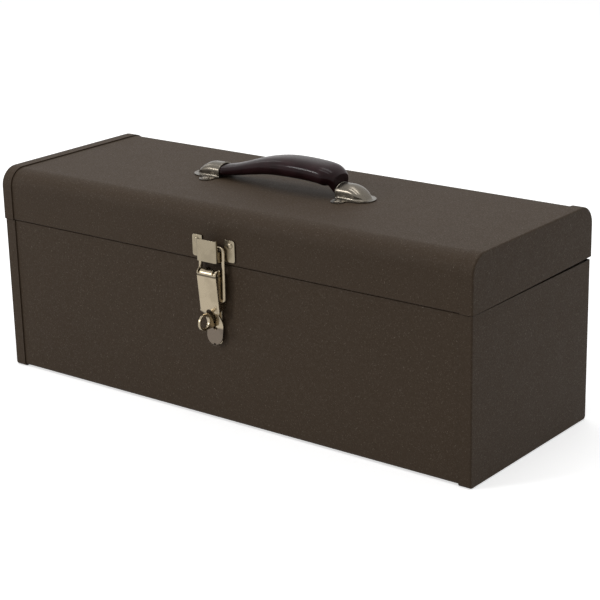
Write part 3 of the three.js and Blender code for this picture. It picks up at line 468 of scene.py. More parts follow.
def lidWrapper():
    skin, top, low = (lidShell[key] for key in ("skin", "topSkin", "bottom"))
    hem, fold = -skin + sheetMetal["hemReach"], sheetMetal["hemFold"]
    bend = lidShell["edgeRound"] - sheetMetal["lap"]
    wrapperPiece("lidWrapper", "lid_wrapper", [
        (hem, low + sheetMetal["hemHeight"], 0), (hem, low, fold), (-skin, low, fold),
        (-skin, top, bend), (skin, top, bend), (skin, lidShell["backBottom"], 0)],
        lidShell["halfLength"] - sheetMetal["lap"], (0, 0, (low + top) / 2))


bodyWrapper()
lidWrapper()

endHem = {"start": 0.35, "fold": 0.7, "front": -82.6, "back": 82.7}


# The folded hem inside an end cap's top edge
def hemFold(bm, halfLength, top):
    one = bmesh.new()
    reach, low = halfLength - sheetMetal["hemReach"], top - sheetMetal["hemHeight"]
    edges = chain(one, [(halfLength - endHem["start"], endHem["front"], top, 0),
                        (reach, endHem["front"], top, endHem["fold"]), (reach, endHem["front"], low, 0)], 4)
    extruded(one, edges, (0, endHem["back"] - endHem["front"], 0))
    faceAway(one, (halfLength, 0, low))
    addTo(bm, one)


# The dished end caps: a panel, its bent edge, and the flange that laps over the wrapper
def endCap(name, node, side, halfLength, outline, hemTop=None):
    def onPanel(vert):
        return abs(vert.co.x - halfLength) < 1e-4

    bm = bmesh.new()
    edges = chain(bm, [(halfLength, y, z, radius) for y, z, radius in outline], sheetMetal["roundSteps"])
    extruded(bm, edges, (-sheetMetal["flange"], 0, 0))
    ends = [v for v in bm.verts if onPanel(v) and sum(onPanel(e.other_vert(v)) for e in v.link_edges) == 1]
    rim = [e for e in bm.edges if all(onPanel(v) for v in e.verts)]
    bmesh.ops.contextual_create(bm, geom=rim + [bm.edges.new(ends)])
    bmesh.ops.recalc_face_normals(bm, faces=bm.faces)
    bmesh.ops.bevel(bm, geom=rim, offset=sheetMetal["bend"], offset_type="OFFSET",
                    segments=sheetMetal["bendSteps"], profile=0.5, affect="EDGES", material=-1)
    faceAway(bm, (0, 0, outline[0][1]))
    if hemTop:
        hemFold(bm, halfLength, hemTop)
    if side < 0:
        flipped(bm)
    finishPiece(name, bm, [node], "coat", thick=sheetMetal["thick"], edge=sheetMetal["edge"])


for side, word in ((-1, "left"), (1, "right")):
    deep, top, floorRound = (bodyShell[key] for key in ("halfDepth", "top", "floorRound"))
    endCap("bodyEnd" + word.capitalize(), "body_end_" + word, side, bodyShell["halfLength"], [
        (-deep, top, 0), (-deep, 0, floorRound), (deep, 0, floorRound), (deep, top, 0)], top)
    deep, top, edgeRound = (lidShell[key] for key in ("halfDepth", "top", "edgeRound"))
    endCap("lidEnd" + word.capitalize(), "lid_end_" + word, side, lidShell["halfLength"], [
        (-deep, lidShell["bottom"], 0), (-deep, top, edgeRound), (deep, top, edgeRound),
        (deep, lidShell["backBottom"], 0)])
print("shell made")


# Piano hinge: each leaf with every other knuckle
hinge = {"halfLength": 234.4, "height": 20, "thick": 0.9, "corner": 1.5, "front": 87.5, "barrel": 2.1,
         "bore": 1.3, "ease": 0.25, "knuckles": 19, "gap": 0.5, "clear": 2.4, "rootFar": 2.52,
         "rootNear": 0.9, "rootThick": 0.5, "axis": 142.4}


# A plate in a plane across Y, from one height over or under the hinge's axis to another
def hingePlate(bm, x0, x1, near, far, thick, corner=0):
    y, z = hinge["front"], hinge["axis"]
    plateFrom(bm, [(x0, y, z + near, 0), (x1, y, z + near, 0), (x1, y, z + far, corner),
                   (x0, y, z + far, corner)], (0, thick, 0))


def hingeLeaf(name, node, up):
    bm = bmesh.new()
    half, radius, ease = hinge["halfLength"], hinge["barrel"], hinge["ease"]
    hingePlate(bm, -half, half, hinge["clear"] * up, hinge["height"] * up, hinge["thick"], hinge["corner"])
    pitch = 2 * half / hinge["knuckles"]
    width = pitch - hinge["gap"]
    for k in range(1 if up > 0 else 0, hinge["knuckles"], 2):
        x = -half + k * pitch + hinge["gap"] / 2
        place = Matrix.Translation((x, hinge["front"] + radius, hinge["axis"]))
        spun(bm, [(hinge["bore"], 0), (radius - ease, 0), (radius, ease), (radius, width - ease),
                  (radius - ease, width), (hinge["bore"], width), (hinge["bore"], 0)],
             place @ Matrix.Rotation(math.pi / 2, 4, "Y"), 24)
        hingePlate(bm, x + width, x, hinge["rootNear"] * up, hinge["rootFar"] * up, hinge["rootThick"])
    finishPiece(name, bm, [node], "steel", sharp=35)


hingeLeaf("hingeLeafLower", "hinge_leaf_lower", -1)
hingeLeaf("hingeLeafUpper", "hinge_leaf_upper", 1)
print("hinge made")


# Rivets: a low dome, a shank and a flat tail
rivets = {"head": 3.4, "strikeHead": 2.6, "rise": 1.3, "domeSteps": 8, "shank": 1.9, "tail": 3.0,
          "tailThick": 1.0, "ease": 0.25}


def rivetPiece(name, node, look, head):
    low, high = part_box(node)
    size, middle = (high - low) * 1000, (low + high) * 500
    middle.y -= shellBack * 1000
    upright = node.startswith("handle")
    # which end the head is on: outwards on the box, inwards in the tray
    inward = node.startswith("tray") and middle.y < 0
    half = (size.z if upright else size.y) / 2
    base, tail, ease = half - rivets["rise"], -half + rivets["tailThick"], rivets["ease"]
    profile = [(head * sine, base + rivets["rise"] * cosine)
               for sine, cosine in quarterTurn(rivets["domeSteps"])]
    profile += [(rivets["shank"], base), (rivets["shank"], tail), (rivets["tail"], tail),
                (rivets["tail"], -half + ease), (rivets["tail"] - ease, -half), (0, -half)]
    turn = Matrix() if upright else Matrix.Rotation(math.pi / 2 * (-1 if inward else 1), 4, "X")
    bm = bmesh.new()
    spun(bm, profile, Matrix.Translation(middle) @ turn, 36)
    finishPiece(name, bm, [node], look, sharp=35)


rivetLooks = {"tray": "steel", "handle": "hoodNickel", "strike": "strikeNickel"}
for node in sorted(frame["nodes"]):
    if "rivet" in node:
        words = node.split("_")
        name = words[0] + "".join(word.capitalize() for word in words[1:])
        rivetPiece(name, node, rivetLooks.get(words[0], "nickel"),
                   rivets["strikeHead" if words[0] == "strike" else "head"])
print("rivets made")


# Handle: hoods stamped in one with their eared feet
hood = {"x": 1.2, "mouth": 64.2, "length": 28.0, "height": 12.4, "halfWidth": 9.7, "slant": 0.4, "sheet": 1.0,
        "arch": 0.8, "archShare": 0.55, "shoulder": 0.36, "toeRise": 0.06, "fallPower": 1.9, "turn": 0.6,
        "narrow": 0.9, "vanish": 2.0, "toe": 32.8, "foot": 12.8, "footTurn": 20.0, "mouthStep": 0.5,
        "earPlace": 8.2, "earHalf": 6.2, "earReach": 23.4, "earBlend": 0.9, "earSwell": 1.6, "fillet": 1.5,
        "leastFillet": 0.05, "leastFoot": 0.02, "wallRows": (0.35, 0.7), "rim": 0.75, "rimFrom": 1.2,
        "rimShift": (0.15, 0, -0.45), "floor": 189.0, "mouthStops": (0, 0.7, 1.38), "earStops": 16,
        "toeStops": (14.42, 15.2, 16, 17, 18, 19.2, 20.4, 21.6, 22.8, 24, 25, 26, 27, 28, 28.8, 29.6, 30.3,
                     31, 31.5, 31.9, 32.2, 32.4, 32.6, 32.7, 32.78)}


# The outline of the foot: half its width at a distance from the mouth
def footHalfWidth(along):
    if along < hood["footTurn"]:
        wide = hood["foot"]
    else:
        share = (along - hood["footTurn"]) / (hood["toe"] - hood["footTurn"])
        wide = hood["foot"] * math.sqrt(max(0.0, 1 - share ** 2))
    across = abs(along - hood["earPlace"]) / hood["earHalf"]
    if across < 1:
        wide = max(wide, hood["earReach"] - hood["earHalf"] + hood["earHalf"] * math.sqrt(1 - across ** 2))
    elif across < 1 + hood["earBlend"] and along > hood["earPlace"]:
        wide = wide + hood["earSwell"] * (1 - (across - 1) / hood["earBlend"]) ** 2
    if along < hood["earPlace"] - hood["earHalf"]:
        wide = hood["halfWidth"] + hood["mouthStep"]
    return wide


# The hood's section at a distance from the mouth: its foot, fillet and wall, and the arch over them
def hoodSection(along):
    fallen, turned = (min(max((along / hood["length"] - hood[key]) / (1 - hood[key]), 0), 1)
                      for key in ("shoulder", "turn"))
    drop = math.sqrt(1 - (1 - hood["toeRise"]) * fallen ** 2) ** hood["fallPower"]
    if along > hood["length"]:
        drop *= max(0.0, 1 - (along - hood["length"]) / hood["vanish"])
    tall = max((hood["height"] - hood["sheet"]) * drop, 0.0)
    foot = footHalfWidth(along)
    wide = min(hood["halfWidth"] * math.sqrt(1 - hood["narrow"] * turned ** 2), foot - hood["leastFoot"])
    curve = min(hood["fillet"], max(foot - wide, hood["leastFillet"]), tall)
    wallTop = max(tall - min(hood["halfWidth"] * hood["arch"], tall * hood["archShare"]), curve)
    points = [(foot, 0.0), (foot * 0.5 + (wide + curve) * 0.5, 0.0)]
    points += [(wide + curve * (1 - sine), curve * (1 - cosine)) for sine, cosine in quarterTurn(4)]
    points += [(wide, curve + (wallTop - curve) * share) for share in hood["wallRows"]]
    points += [(wide * cosine, wallTop + (tall - wallTop) * sine) for sine, cosine in quarterTurn(10)]
    points += [(-y, z) for y, z in reversed(points[:-1])]
    slant = hood["slant"] * max(0.0, 1 - along / hood["length"])
    base = hood["floor"] + hood["sheet"]
    return [Vector((hood["mouth"] + along + (slant * (z + hood["sheet"]) / hood["height"] if z > 1e-6 else 0),
                    y, base + z)) for y, z in points]


def handleCap(name, node, side):
    steps = hood["earStops"]
    stops = [hood["earPlace"] - hood["earHalf"] * math.cos(k / steps * math.pi) for k in range(1, steps)]
    rows = [hoodSection(stop) for stop in (*hood["mouthStops"], *stops, *hood["toeStops"])]
    bm = bmesh.new()
    loft(bm, rows)
    bmesh.ops.remove_doubles(bm, verts=bm.verts, dist=1e-3)
    faceAway(bm, (hood["mouth"] + hood["length"] / 2, 0, hood["floor"]))
    wall = bmesh.new()
    addTo(wall, bm)
    wall.normal_update()
    inward = {v: v.co - v.normal * hood["sheet"] for v in wall.verts}
    copied = bmesh.ops.duplicate(wall, geom=everything(wall))
    for vert, place in inward.items():
        copied["vert_map"][vert].co = place
    bmesh.ops.reverse_faces(wall, faces=[g for g in copied["geom"] if isinstance(g, bmesh.types.BMFace)])
    bmesh.ops.bridge_loops(wall, edges=[e for e in wall.edges if e.is_boundary])
    # the mouth's rolled rim
    low = hood["floor"] + hood["sheet"] + hood["rimFrom"]
    arch = [point + Vector(hood["rimShift"]) for point in rows[0] if point.z > low]
    sweep(wall, circleSection(hood["rim"], 10), placesAlong(arch, Vector((1, 0, 0))))
    if side < 0:
        flipped(wall)
    bmesh.ops.translate(wall, vec=(hood["x"], 0, 0), verts=wall.verts)
    finishPiece(name, wall, [node], "hoodNickel", sharp=50)


handleCap("handleCapLeft", "handle_cap_left", -1)
handleCap("handleCapRight", "handle_cap_right", 1)

# the grip: an arch that leans to the right, thick in the middle and narrow at the mouths
grip = {"rise": 19.66, "endRise": 6.0, "width": 31.0, "thick": 17.8, "endWidth": 18.0, "endThick": 9.8,
        "mouthGap": 0.85, "square": 2.5, "sides": 32, "rings": 90, "full": (0.25, 0.72), "coreRest": 1.5,
        "coreEnd": 12.0, "edge": 1.1, "edgeSteps": 4,
        "places": (-1, -0.73, -0.46, -0.19, 0.08, 0.34, 0.58, 0.77, 0.91, 1),
        "heights": (0, 0.24, 0.54, 0.82, 0.97, 1, 0.96, 0.87, 0.66, 0)}


# The point at a share of a smooth curve through points, which it passes evenly and without loops
def centripetal(points, share):
    knots = [0.0]
    for first, second in zip(points, points[1:]):
        knots.append(knots[-1] + math.sqrt((second - first).length))
    t = knots[1] + share * (knots[-2] - knots[1])
    k = max(i for i in range(1, len(points) - 2) if knots[i] <= t + 1e-9)
    p, s = points[k - 1:k + 3], knots[k - 1:k + 3]

    def mix(a, b, ta, tb):
        return a * ((tb - t) / (tb - ta)) + b * ((t - ta) / (tb - ta))

    a1, a2, a3 = (mix(p[i], p[i + 1], s[i], s[i + 1]) for i in range(3))
    b1, b2 = mix(a1, a2, s[0], s[2]), mix(a2, a3, s[1], s[3])
    return mix(b1, b2, s[1], s[2])


def gripPath():
    end = hood["mouth"] + hood["length"] - grip["coreEnd"]
    points = [Vector((-end, 0, grip["coreRest"]))]
    points += [Vector((place * hood["mouth"], 0, grip["endRise"] + height * (grip["rise"] - grip["endRise"])))
               for place, height in zip(grip["places"], grip["heights"])]
    points.append(Vector((end, 0, grip["coreRest"])))
    points = [2 * points[0] - points[1]] + points + [2 * points[-1] - points[-2]]
    path = [centripetal(points, k / grip["rings"]) for k in range(grip["rings"] + 1)]
    return [p + Vector((hood["x"], 0, lidShell["topSkin"])) for p in path]


def handleGrip():
    path = gripPath()
    lengths = [0.0]
    for first, second in zip(path, path[1:]):
        lengths.append(lengths[-1] + (second - first).length)
    gripShare = hood["mouth"] / (hood["mouth"] + hood["length"] - grip["coreEnd"])
    section = []
    for k in range(grip["sides"]):
        angle = 2 * math.pi * k / grip["sides"]
        c, s = math.cos(angle), math.sin(angle)
        power = 2 / grip["square"]
        section.append(Vector((math.copysign(abs(c) ** power, c), math.copysign(abs(s) ** power, s), 0)))
    places = []
    for place, length in zip(placesAlong(path, Vector((0, 1, 0))), lengths):
        along = min(max((2 * length / lengths[-1] - 1) / gripShare, -1), 1)
        first, last = grip["full"]
        ease = smooth(min(max((first - along) / (first + 1), (along - last) / (1 - last), 0), 1))
        wide = (grip["width"] + (grip["endWidth"] - grip["width"]) * ease) / 2
        thick = (grip["thick"] + (grip["endThick"] - grip["thick"]) * ease) / 2
        places.append(place @ Matrix.Diagonal((wide, thick, 1, 1)))
    bm = bmesh.new()
    sweep(bm, section, places, capped=False)
    for side in (-1, 1):
        at = Vector((hood["x"] + side * (hood["mouth"] - grip["mouthGap"]), 0, lidShell["topSkin"]))
        normal = Vector((side * hood["height"], 0, -hood["slant"]))
        bmesh.ops.bisect_plane(bm, geom=everything(bm), plane_co=at, plane_no=normal, clear_outer=True)
    bmesh.ops.contextual_create(bm, geom=[e for e in bm.edges if e.is_boundary and e.verts[0].co.x < 0])
    bmesh.ops.contextual_create(bm, geom=[e for e in bm.edges if e.is_boundary])
    finishPiece("handleGrip", bm, ["handle_grip"], "vinyl", edge=grip["edge"], edgeSteps=grip["edgeSteps"],
                sharp=55)


handleGrip()
print("handle made")


# Draw latch: the lever is one folded plate, drawn row by row from its curl to the finger tab
lever = {"x": -1.2, "pivotY": -98.8, "pivotZ": 134.5, "halfWidth": 10.5, "sheet": 1.2, "curl": 4.3,
         "curlTurn": 95, "curlRows": 16, "rowStep": 0.3, "sideBend": 1.5, "sideBendShare": 0.8,
         "plateOut": 0.9, "plateDrop": 33.5, "plateBend": 1.6,
         "tail": ((5.4, 42.5, 4.0), (6.1, 47.5, 6.0), (3.9, 63.8, 0)), "tailHalfWidth": 8.6, "tipLeast": 0.02,
         "slotHalfWidth": 4.0, "slotDrops": (31.0, 50.9), "earSlot": (6.4, 8.6), "earSlotTurn": 12,
         "earSlotTilt": 0.3, "crease": 0.35, "creaseDrop": 0.6, "creaseReach": 1.3,
         "shares": (0, 0.38, 0.73, 0.9, 0.988), "cheekRound": 3.7, "cheekTurns": (100, 195),
         "cheek": ((-3.7, 0.2), (-1.5, 2.6), (3.7, 3.7), (28.4, 8.6), (29.6, 8.2), (31.0, 5.0), (32.4, 1.2),
                   (33.3, -0.6))}


# Points at even steps along a path, and none further apart than the step
def evenPath(path, step):
    found = [path[0]]
    for first, second in zip(path, path[1:]):
        parts = max(1, math.ceil((second - first).length / step))
        found += [first.lerp(second, k / parts) for k in range(1, parts + 1)]
    return found


# How far behind the pivot a cheek reaches at a drop below it, and None below the cheek
def cheekBack(drop):
    for (drop0, back0), (drop1, back1) in zip(lever["cheek"], lever["cheek"][1:]):
        if drop <= drop1:
            return back0 + (back1 - back0) * (drop - drop0) / (drop1 - drop0)
    return None


# The right half of the lever at a point of its middle line, out to the cheek's back edge at target
def leverRow(point, target=None):
    drop = lever["pivotZ"] - point.z
    tailWide = lever["tailHalfWidth"]
    tipDrop = lever["tail"][-1][1] - tailWide
    wide = lever["halfWidth"]
    if drop > lever["plateDrop"]:
        wide = max(tailWide, wide - (drop - lever["plateDrop"]))
    if drop > tipDrop:
        wide = math.sqrt(max(tailWide ** 2 - (drop - tipDrop) ** 2, lever["tipLeast"]))
    top, low = lever["slotDrops"]
    inSlot = min(drop - top, low - drop)
    slot = 0.0
    if inSlot > 0:
        slot = lever["slotHalfWidth"] * math.sqrt(1 - (1 - min(inSlot / lever["slotHalfWidth"], 1)) ** 2)
    if target is None:
        back = cheekBack(drop) if drop < lever["plateDrop"] else None
        target = point if back is None else Vector((0, lever["pivotY"] + back, point.z))
    leg = target - point
    bend, way = min(lever["sideBend"], leg.length * lever["sideBendShare"]), leg.normalized()
    row = [point + Vector((slot + (wide - lever["sideBend"] - slot) * share, 0, 0))
           for share in lever["shares"]]
    row += [point + Vector((wide - bend + bend * sine, 0, 0)) + way * bend * (1 - cosine)
            for sine, cosine in quarterTurn(6)[1:]]
    row += [point + Vector((wide, 0, 0)) + way * (bend + (leg.length - bend) * k / 3) for k in (1, 2, 3)]
    return row


def latchLever():
    y, z = lever["pivotY"], lever["pivotZ"]

    # the place at a distance from the pivot: an angle of 0 is in front of it, and 90 above
    def aroundPivot(degrees, radius):
        angle = math.radians(degrees)
        return Vector((0, y, z)) + Vector((0, -math.cos(angle), math.sin(angle))) * radius

    rows = []
    first, last = lever["cheekTurns"]
    for k in range(lever["curlRows"]):
        share = k / lever["curlRows"]
        rows.append(leverRow(aroundPivot(lever["curlTurn"] * (1 - share), lever["curl"]),
                             aroundPivot(first + (last - first) * share, lever["cheekRound"])))
    corners = [(0, y - lever["curl"], z, 0),
               (0, y - lever["plateOut"], z - lever["plateDrop"], lever["plateBend"])]
    corners += [(0, y + back, z - drop, bend) for back, drop, bend in lever["tail"]]
    for point in evenPath(pathThrough(corners, 8), lever["rowStep"]):
        # a crease where the curl begins
        near = max(0.0, 1 - abs(z - lever["creaseDrop"] - point.z) / lever["creaseReach"])
        rows.append(leverRow(point + Vector((0, lever["crease"] * smooth(near), 0))))
    bm = bmesh.new()
    loft(bm, rows)
    # slots for the base's ears
    low, high = lever["earSlot"]
    notch = aroundPivot(lever["earSlotTurn"], lever["curl"]).z
    gone = [f for f in bm.faces if low < f.calc_center_median().x < high
            and f.calc_center_median().z > notch and abs(f.normal.x) < lever["earSlotTilt"]]
    bmesh.ops.delete(bm, geom=gone, context="FACES")
    bmesh.ops.remove_doubles(bm, verts=bm.verts, dist=0.012)
    mirrored(bm)
    bmesh.ops.remove_doubles(bm, verts=bm.verts, dist=0.004)
    faceAway(bm, (0, y + lever["curl"], z - lever["plateDrop"] / 2))
    bmesh.ops.translate(bm, verts=bm.verts, vec=(lever["x"], 0, 0))
    finishPiece("latchLever", bm, ["latch_lever"], "leverNickel", thick=lever["sheet"],
                edge=sheetMetal["edge"], sharp=50)


latchLever()

# the bail: one bent wire from eye to eye
bail = {"wire": 1.6, "halfWidth": 12.5, "tuck": 3.9, "bend": 3.4, "eyeBend": 2.1,
        "eye": (-94.4, 111.5), "bar": (-93.9, 157.0), "step": 2.0}


def latchBail():
    left, right = (lever["x"] + side * bail["halfWidth"] for side in (-1, 1))
    tuck, bend, eyeBend, eye, bar = (bail[key] for key in ("tuck", "bend", "eyeBend", "eye", "bar"))
    path = pathThrough([(left + tuck, *eye, 0), (left, *eye, eyeBend), (left, *bar, bend),
                        (right, *bar, bend), (right, *eye, eyeBend), (right - tuck, *eye, 0)], 12)
    bm = bmesh.new()
    places = placesAlong(evenPath(path, bail["step"]), Vector((0, 1, 0)))
    sweep(bm, circleSection(bail["wire"], 20), places)
    finishPiece("latchBail", bm, ["latch_bail"], "nickel", sharp=50)


latchBail()

# the strike: a hat-shaped strip whose walls are notched for the bail's bar
strike = {"halfWidth": 23.0, "top": 164.5, "low": 145.5, "sheet": 1.2, "lipHalf": 10.6, "lipOut": 11.1,
          "return": 2.8, "notch": 154.3, "notchSide": 1.4, "notchRound": 1.1, "notchStart": 0.86,
          "corner": 2.2, "cornerStops": (0.0, 0.12, 0.34, 0.64, 1.0, 1.5, 2.2), "cornerGap": 0.3,
          "step": 0.6, "heightSteps": 8, "foot": -90.5, "fold": 0.7, "lipBend": 1.9}


def latchStrike():
    half, reach, corner, steps = (strike[key] for key in ("halfWidth", "lipHalf", "corner", "heightSteps"))
    face, lip = strike["foot"] - strike["sheet"], strike["foot"] - strike["lipOut"]
    path = pathThrough([(half, face, 0, 0), (reach, face, 0, strike["fold"]),
                        (reach, lip, 0, strike["lipBend"]), (0, lip, 0, 0)], 8)
    places = [path[0] - Vector((stop, 0, 0)) for stop in strike["cornerStops"]]
    places += [point for point in evenPath(path, strike["step"])
               if point.x < half - corner - strike["cornerGap"]]
    rows = []
    for point in places:
        edgeIn = corner - min(half - point.x, corner)
        cut = corner - math.sqrt(max(corner ** 2 - edgeIn ** 2, 0))
        top, low = strike["top"] - cut, strike["low"] + cut
        behindLip = point.y - (lip + strike["return"])
        if point.x < reach + strike["notchSide"] and behindLip > 0:
            # the notch, with a round inner corner by the lip
            share = 1 - min(behindLip / strike["notchRound"], 1)
            depth = strike["notchStart"] + (1 - strike["notchStart"]) * math.sqrt(1 - share ** 2)
            top = strike["top"] + (strike["notch"] - strike["top"]) * depth
        rows.append([Vector((point.x, point.y, low + (top - low) * k / steps)) for k in range(steps + 1)])
    bm = bmesh.new()
    loft(bm, rows)
    mirrored(bm)
    bmesh.ops.remove_doubles(bm, verts=bm.verts, dist=0.01)
    faceAway(bm, (0, 0, strike["notch"]))
    bmesh.ops.translate(bm, verts=bm.verts, vec=(lever["x"], 0, 0))
    finishPiece("latchStrike", bm, ["latch_strike"], "strikeNickel", thick=strike["sheet"],
                edge=sheetMetal["edge"], sharp=50)


latchStrike()

# the staple: a rounded eye on a riveted foot
staple = {"out": 16.9, "radius": 7.2, "hole": 5.3, "z": 93.9, "thick": 2.4, "root": 0.7, "turn": 0.99,
          "footHalf": 6.0, "footLow": 70.1, "footTop": 104.2, "footRound": 5.0, "footCorner": 0.5,
          "sheet": 1.4, "skin": -89.6, "seat": 0.1, "edge": 0.55}


def padlockStaple():
    bm = bmesh.new()
    back, half = staple["skin"] - staple["seat"], staple["footHalf"]
    bottom, top, toe, corner = (staple[key] for key in ("footLow", "footTop", "footRound", "footCorner"))
    left, right = lever["x"] - half, lever["x"] + half
    plateFrom(bm, [(left, back, bottom, toe), (right, back, bottom, toe), (right, back, top, corner),
                   (left, back, top, corner)], (0, -staple["sheet"], 0), 8)
    eye = bmesh.new()
    left, root = lever["x"] - staple["thick"] / 2, back - staple["root"]
    centre = staple["skin"] - staple["out"]
    radius, turn = staple["radius"], staple["radius"] * staple["turn"]
    low, high = staple["z"] - radius, staple["z"] + radius
    chain(eye, [(left, root, low, 0), (left, centre - radius, low, turn), (left, centre - radius, high, turn),
                (left, root, high, 0)], 12, closed=True)
    place = Matrix.Translation((left, centre, staple["z"])) @ Matrix.Rotation(math.pi / 2, 4, "Y")
    bmesh.ops.create_circle(eye, segments=32, radius=staple["hole"], matrix=place)
    bmesh.ops.triangle_fill(eye, edges=list(eye.edges), use_beauty=True, use_dissolve=False)
    drawnOut(eye, (staple["thick"], 0, 0))
    addTo(bm, eye)
    finishPiece("padlockStaple", bm, ["padlock_staple"], "nickel", edge=staple["edge"], edgeSteps=3, sharp=35)


padlockStaple()

# the pins: bars spun about X, with eased ends
pins = {"latch": 1.3, "latchHalf": 10.6, "hinge": 1.05, "ease": 0.3, "easeMiddle": 0.09}


def roundBar(name, node, look, radius, x, half, y, z):
    bm = bmesh.new()
    width, ease, middle = 2 * half, pins["ease"], pins["easeMiddle"]
    spun(bm, [(0, 0), (radius - ease, 0), (radius - middle, middle), (radius, ease), (radius, width - ease),
              (radius - middle, width - middle), (radius - ease, width), (0, width)],
         Matrix.Translation((x - half, y, z)) @ Matrix.Rotation(math.pi / 2, 4, "Y"), 28)
    finishPiece(name, bm, [node], look, sharp=50)


roundBar("latchPivotPin", "latch_pivot_pin", "nickel", pins["latch"], lever["x"], pins["latchHalf"],
         lever["pivotY"], lever["pivotZ"])
roundBar("hingePin", "hinge_pin", "steel", pins["hinge"], 0, hinge["halfLength"],
         hinge["front"] + hinge["barrel"], hinge["axis"])


# A CAD solid with its corners merged, its edges eased and its shading evened
def easedCopy(name, node, look, edge):
    bm = bmesh.new()
    bm.from_mesh(frame["nodes"][node].data)
    bmesh.ops.remove_doubles(bm, verts=bm.verts, dist=0.000004)
    bmesh.ops.dissolve_limit(bm, angle_limit=math.radians(1), verts=bm.verts, edges=bm.edges)
    finishPiece(name, bm, [node], look, edge=edge, sharp=30, inFrame=True)


easedCopy("latchBase", "latch_base", "nickel", 0.2)
easedCopy("handleCore", "handle_core", "steel", 0.3)
easedCopy("trayLedgeLeft", "tray_ledge_left", "coat", 0.2)
easedCopy("trayLedgeRight", "tray_ledge_right", "coat", 0.2)
print("latch made")


# Tray: a folded pan with a rolled rim and a strap to lift it by
tray = {"halfLength": 248.2, "halfDepth": 84.4, "low": 86.4, "top": 136.4, "corner": 6.0, "cornerSteps": 6,
        "sheet": 0.9, "wallIn": 1.1, "floorBend": 2.5, "rimHeight": 4.0, "rimFlare": 0.9, "rimMiddle": 0.975,
        "rimHalf": 0.925, "rimDrop": 0.95, "rimRise": 0.93, "strapHalf": 10.0, "strapThick": 1.6,
        "strapTop": 157.4, "strapFoot": 114.4, "strapBend": 14.0, "strapReach": 82.3, "strapEdge": 0.5}


# One ring of a rounded box's wall: how far it is inset, and its height
def boxRing(inset, z):
    radius, steps = tray["corner"] - inset, tray["cornerSteps"]
    ring = []
    for k, (sx, sy) in enumerate(((1, 1), (-1, 1), (-1, -1), (1, -1))):
        cx = sx * (tray["halfLength"] - inset - radius)
        cy = sy * (tray["halfDepth"] - inset - radius)
        for step in range(steps + 1):
            angle = math.pi / 2 * (k + step / steps)
            ring.append(Vector((cx + radius * math.cos(angle), cy + radius * math.sin(angle), z)))
    return ring


def trayPan():
    wall, sheet, bend, low, top = (tray[key] for key in ("wallIn", "sheet", "floorBend", "low", "top"))
    middle, half, under = tray["rimMiddle"], tray["rimHalf"], top - tray["rimHeight"]
    # from under the floor round its bend and up the outside, over the rim, and down the inside to the floor
    levels = [(wall + bend * (1 - sine), low + bend * (1 - cosine)) for sine, cosine in quarterTurn(5)]
    levels.append((wall, under))
    levels += [(wall - (wall - middle + half) * sine, under + tray["rimFlare"] * (1 - cosine))
               for sine, cosine in quarterTurn(4)[1:]]
    rim = top - tray["rimDrop"]
    for k in range(7):
        angle = math.pi * k / 6
        levels.append((middle - half * math.cos(angle), rim + tray["rimRise"] * math.sin(angle)))
    bend -= sheet
    levels += [(wall + sheet + bend * (1 - cosine), low + sheet + bend * (1 - sine))
               for sine, cosine in quarterTurn(5)]
    bm = bmesh.new()
    for edges in loft(bm, [boxRing(*level) for level in levels], closed=True):
        bmesh.ops.contextual_create(bm, geom=edges)
    bmesh.ops.recalc_face_normals(bm, faces=bm.faces)
    finishPiece("trayPan", bm, ["tray_pan"], "trayCoat")


def trayHandle():
    bm = bmesh.new()
    reach, half = tray["strapReach"], tray["strapHalf"]
    foot, top, bend = tray["strapFoot"], tray["strapTop"], tray["strapBend"]
    edges = chain(bm, [(-half, -reach, foot, 0), (-half, -reach, top, bend), (-half, reach, top, bend),
                       (-half, reach, foot, 0)], 14)
    extruded(bm, edges, (2 * half, 0, 0))
    faceAway(bm, (0, 0, foot))
    finishPiece("trayHandle", bm, ["tray_handle"], "steel", thick=tray["strapThick"], edge=tray["strapEdge"],
                edgeSteps=3)


trayPan()
trayHandle()
print("tray made")

# Studio: a pale floor, soft light and the photograph's view
studio = {"floor": 20.0, "tone": rgb(0.93, 0.93, 0.93), "bounce": rgb(0.55, 0.55, 0.55), "lift": 0.52,
          "sky": 0.34,
          "lamps": (("overheadFront", (0.0, -0.35, 2.3), (0.0, 0.0, 0.1), 1.7, 0.40, 10.5),
                    ("overheadBack", (0.0, 0.62, 2.3), (0.0, 0.0, 0.1), 1.7, 0.40, 10.5),
                    ("frontLeft", (-2.6, -3.6, 2.0), (0.0, 0.0, 0.12), 0.9, 0.9, 68.0),
                    ("leftSide", (-2.0, 0.3, 1.75), (0.0, 0.0, 0.12), 0.25, 0.8, 3.0),
                    ("rightSide", (2.6, -0.2, 1.3), (0.0, 0.0, 0.12), 1.2, 1.2, 1.0))}


def aimed(obj, place, target):
    obj.location = place
    obj.rotation_euler = (Vector(target) - Vector(place)).to_track_quat("-Z", "Y").to_euler()


# A floor that looks almost white and keeps shadows, but throws back less light than it shows
def paleFloor():
    plain = {"Roughness": 0.9, "Specular IOR Level": 0.0}
    look = Look("paleFloor", **plain, **{"Base Color": studio["bounce"]})
    shown = look.node("ShaderNodeBsdfPrincipled", {}, {
        **plain, "Base Color": studio["tone"], "Emission Color": rgb(1, 1, 1),
        "Emission Strength": studio["lift"]})
    return look.finished(look.node("ShaderNodeMixShader", {}, {0: look.seenRays(), 1: look.shader, 2: shown}))


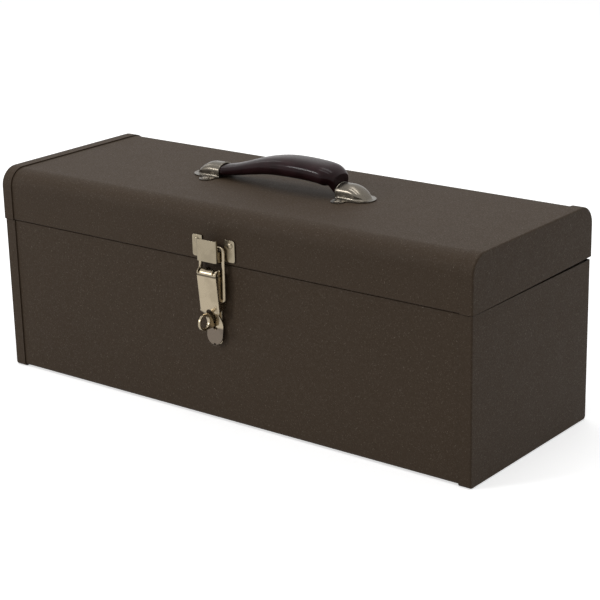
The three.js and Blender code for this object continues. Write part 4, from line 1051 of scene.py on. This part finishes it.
def buildStudio():
    bm = bmesh.new()
    bmesh.ops.create_grid(bm, x_segments=1, y_segments=1, size=studio["floor"] / 2)
    mesh = bpy.data.meshes.new("studioFloor")
    bm.to_mesh(mesh)
    bm.free()
    floor = bpy.data.objects.new("studioFloor", mesh)
    bpy.context.scene.collection.objects.link(floor)
    mesh.materials.append(paleFloor())
    for name, place, target, width, height, power in studio["lamps"]:
        data = bpy.data.lights.new(name, "AREA")
        data.shape, data.size, data.size_y, data.energy = "RECTANGLE", width, height, power
        lamp = bpy.data.objects.new(name, data)
        bpy.context.scene.collection.objects.link(lamp)
        aimed(lamp, place, target)
    world = bpy.data.worlds.new("softRoom")
    world.use_nodes = True
    bpy.context.scene.world = world
    room = NodeTree(world.node_tree)
    soft, white = (room.node("ShaderNodeBackground", {}, {0: rgb(1, 1, 1), 1: strength})
                   for strength in (studio["sky"], 1.0))
    room.node("ShaderNodeOutputWorld", {}, {
        0: room.node("ShaderNodeMixShader", {}, {0: room.seenRays(), 1: soft, 2: white})})


buildStudio()

# the camera, as it was solved from the box's edges in the photograph
shot = {"place": (0.9397, -1.1607, 0.5755), "azimuth": 38.173, "elevation": 18.112, "roll": -1.331,
        "lens": 107.18, "sensor": 36.0, "clip": (0.02, 60), "centre": (301.0, 300.3), "photo": 600}


def buildCamera():
    azimuth, elevation, roll = (math.radians(shot[key]) for key in ("azimuth", "elevation", "roll"))
    back = Vector((math.sin(azimuth) * math.cos(elevation), -math.cos(azimuth) * math.cos(elevation),
                   math.sin(elevation)))
    right = (-back).cross(Vector((0, 0, 1))).normalized()
    up = back.cross(right)
    turnedRight = right * math.cos(roll) + up * math.sin(roll)
    turnedUp = up * math.cos(roll) - right * math.sin(roll)
    data = bpy.data.cameras.new("photoView")
    data.lens, data.sensor_width, data.sensor_fit = shot["lens"], shot["sensor"], "HORIZONTAL"
    (right0, down0), size = shot["centre"], shot["photo"]
    data.shift_x, data.shift_y = (size / 2 - right0) / size, (down0 - size / 2) / size
    data.clip_start, data.clip_end = shot["clip"]
    camera = bpy.data.objects.new("photoView", data)
    bpy.context.scene.collection.objects.link(camera)
    camera.matrix_world = Matrix.Translation(shot["place"]) @ Matrix(
        (turnedRight, turnedUp, back)).transposed().to_4x4()
    bpy.context.scene.camera = camera


buildCamera()
bpy.context.scene.view_settings.view_transform = "Standard"
print("studio made")

bpy.context.view_layer.update()
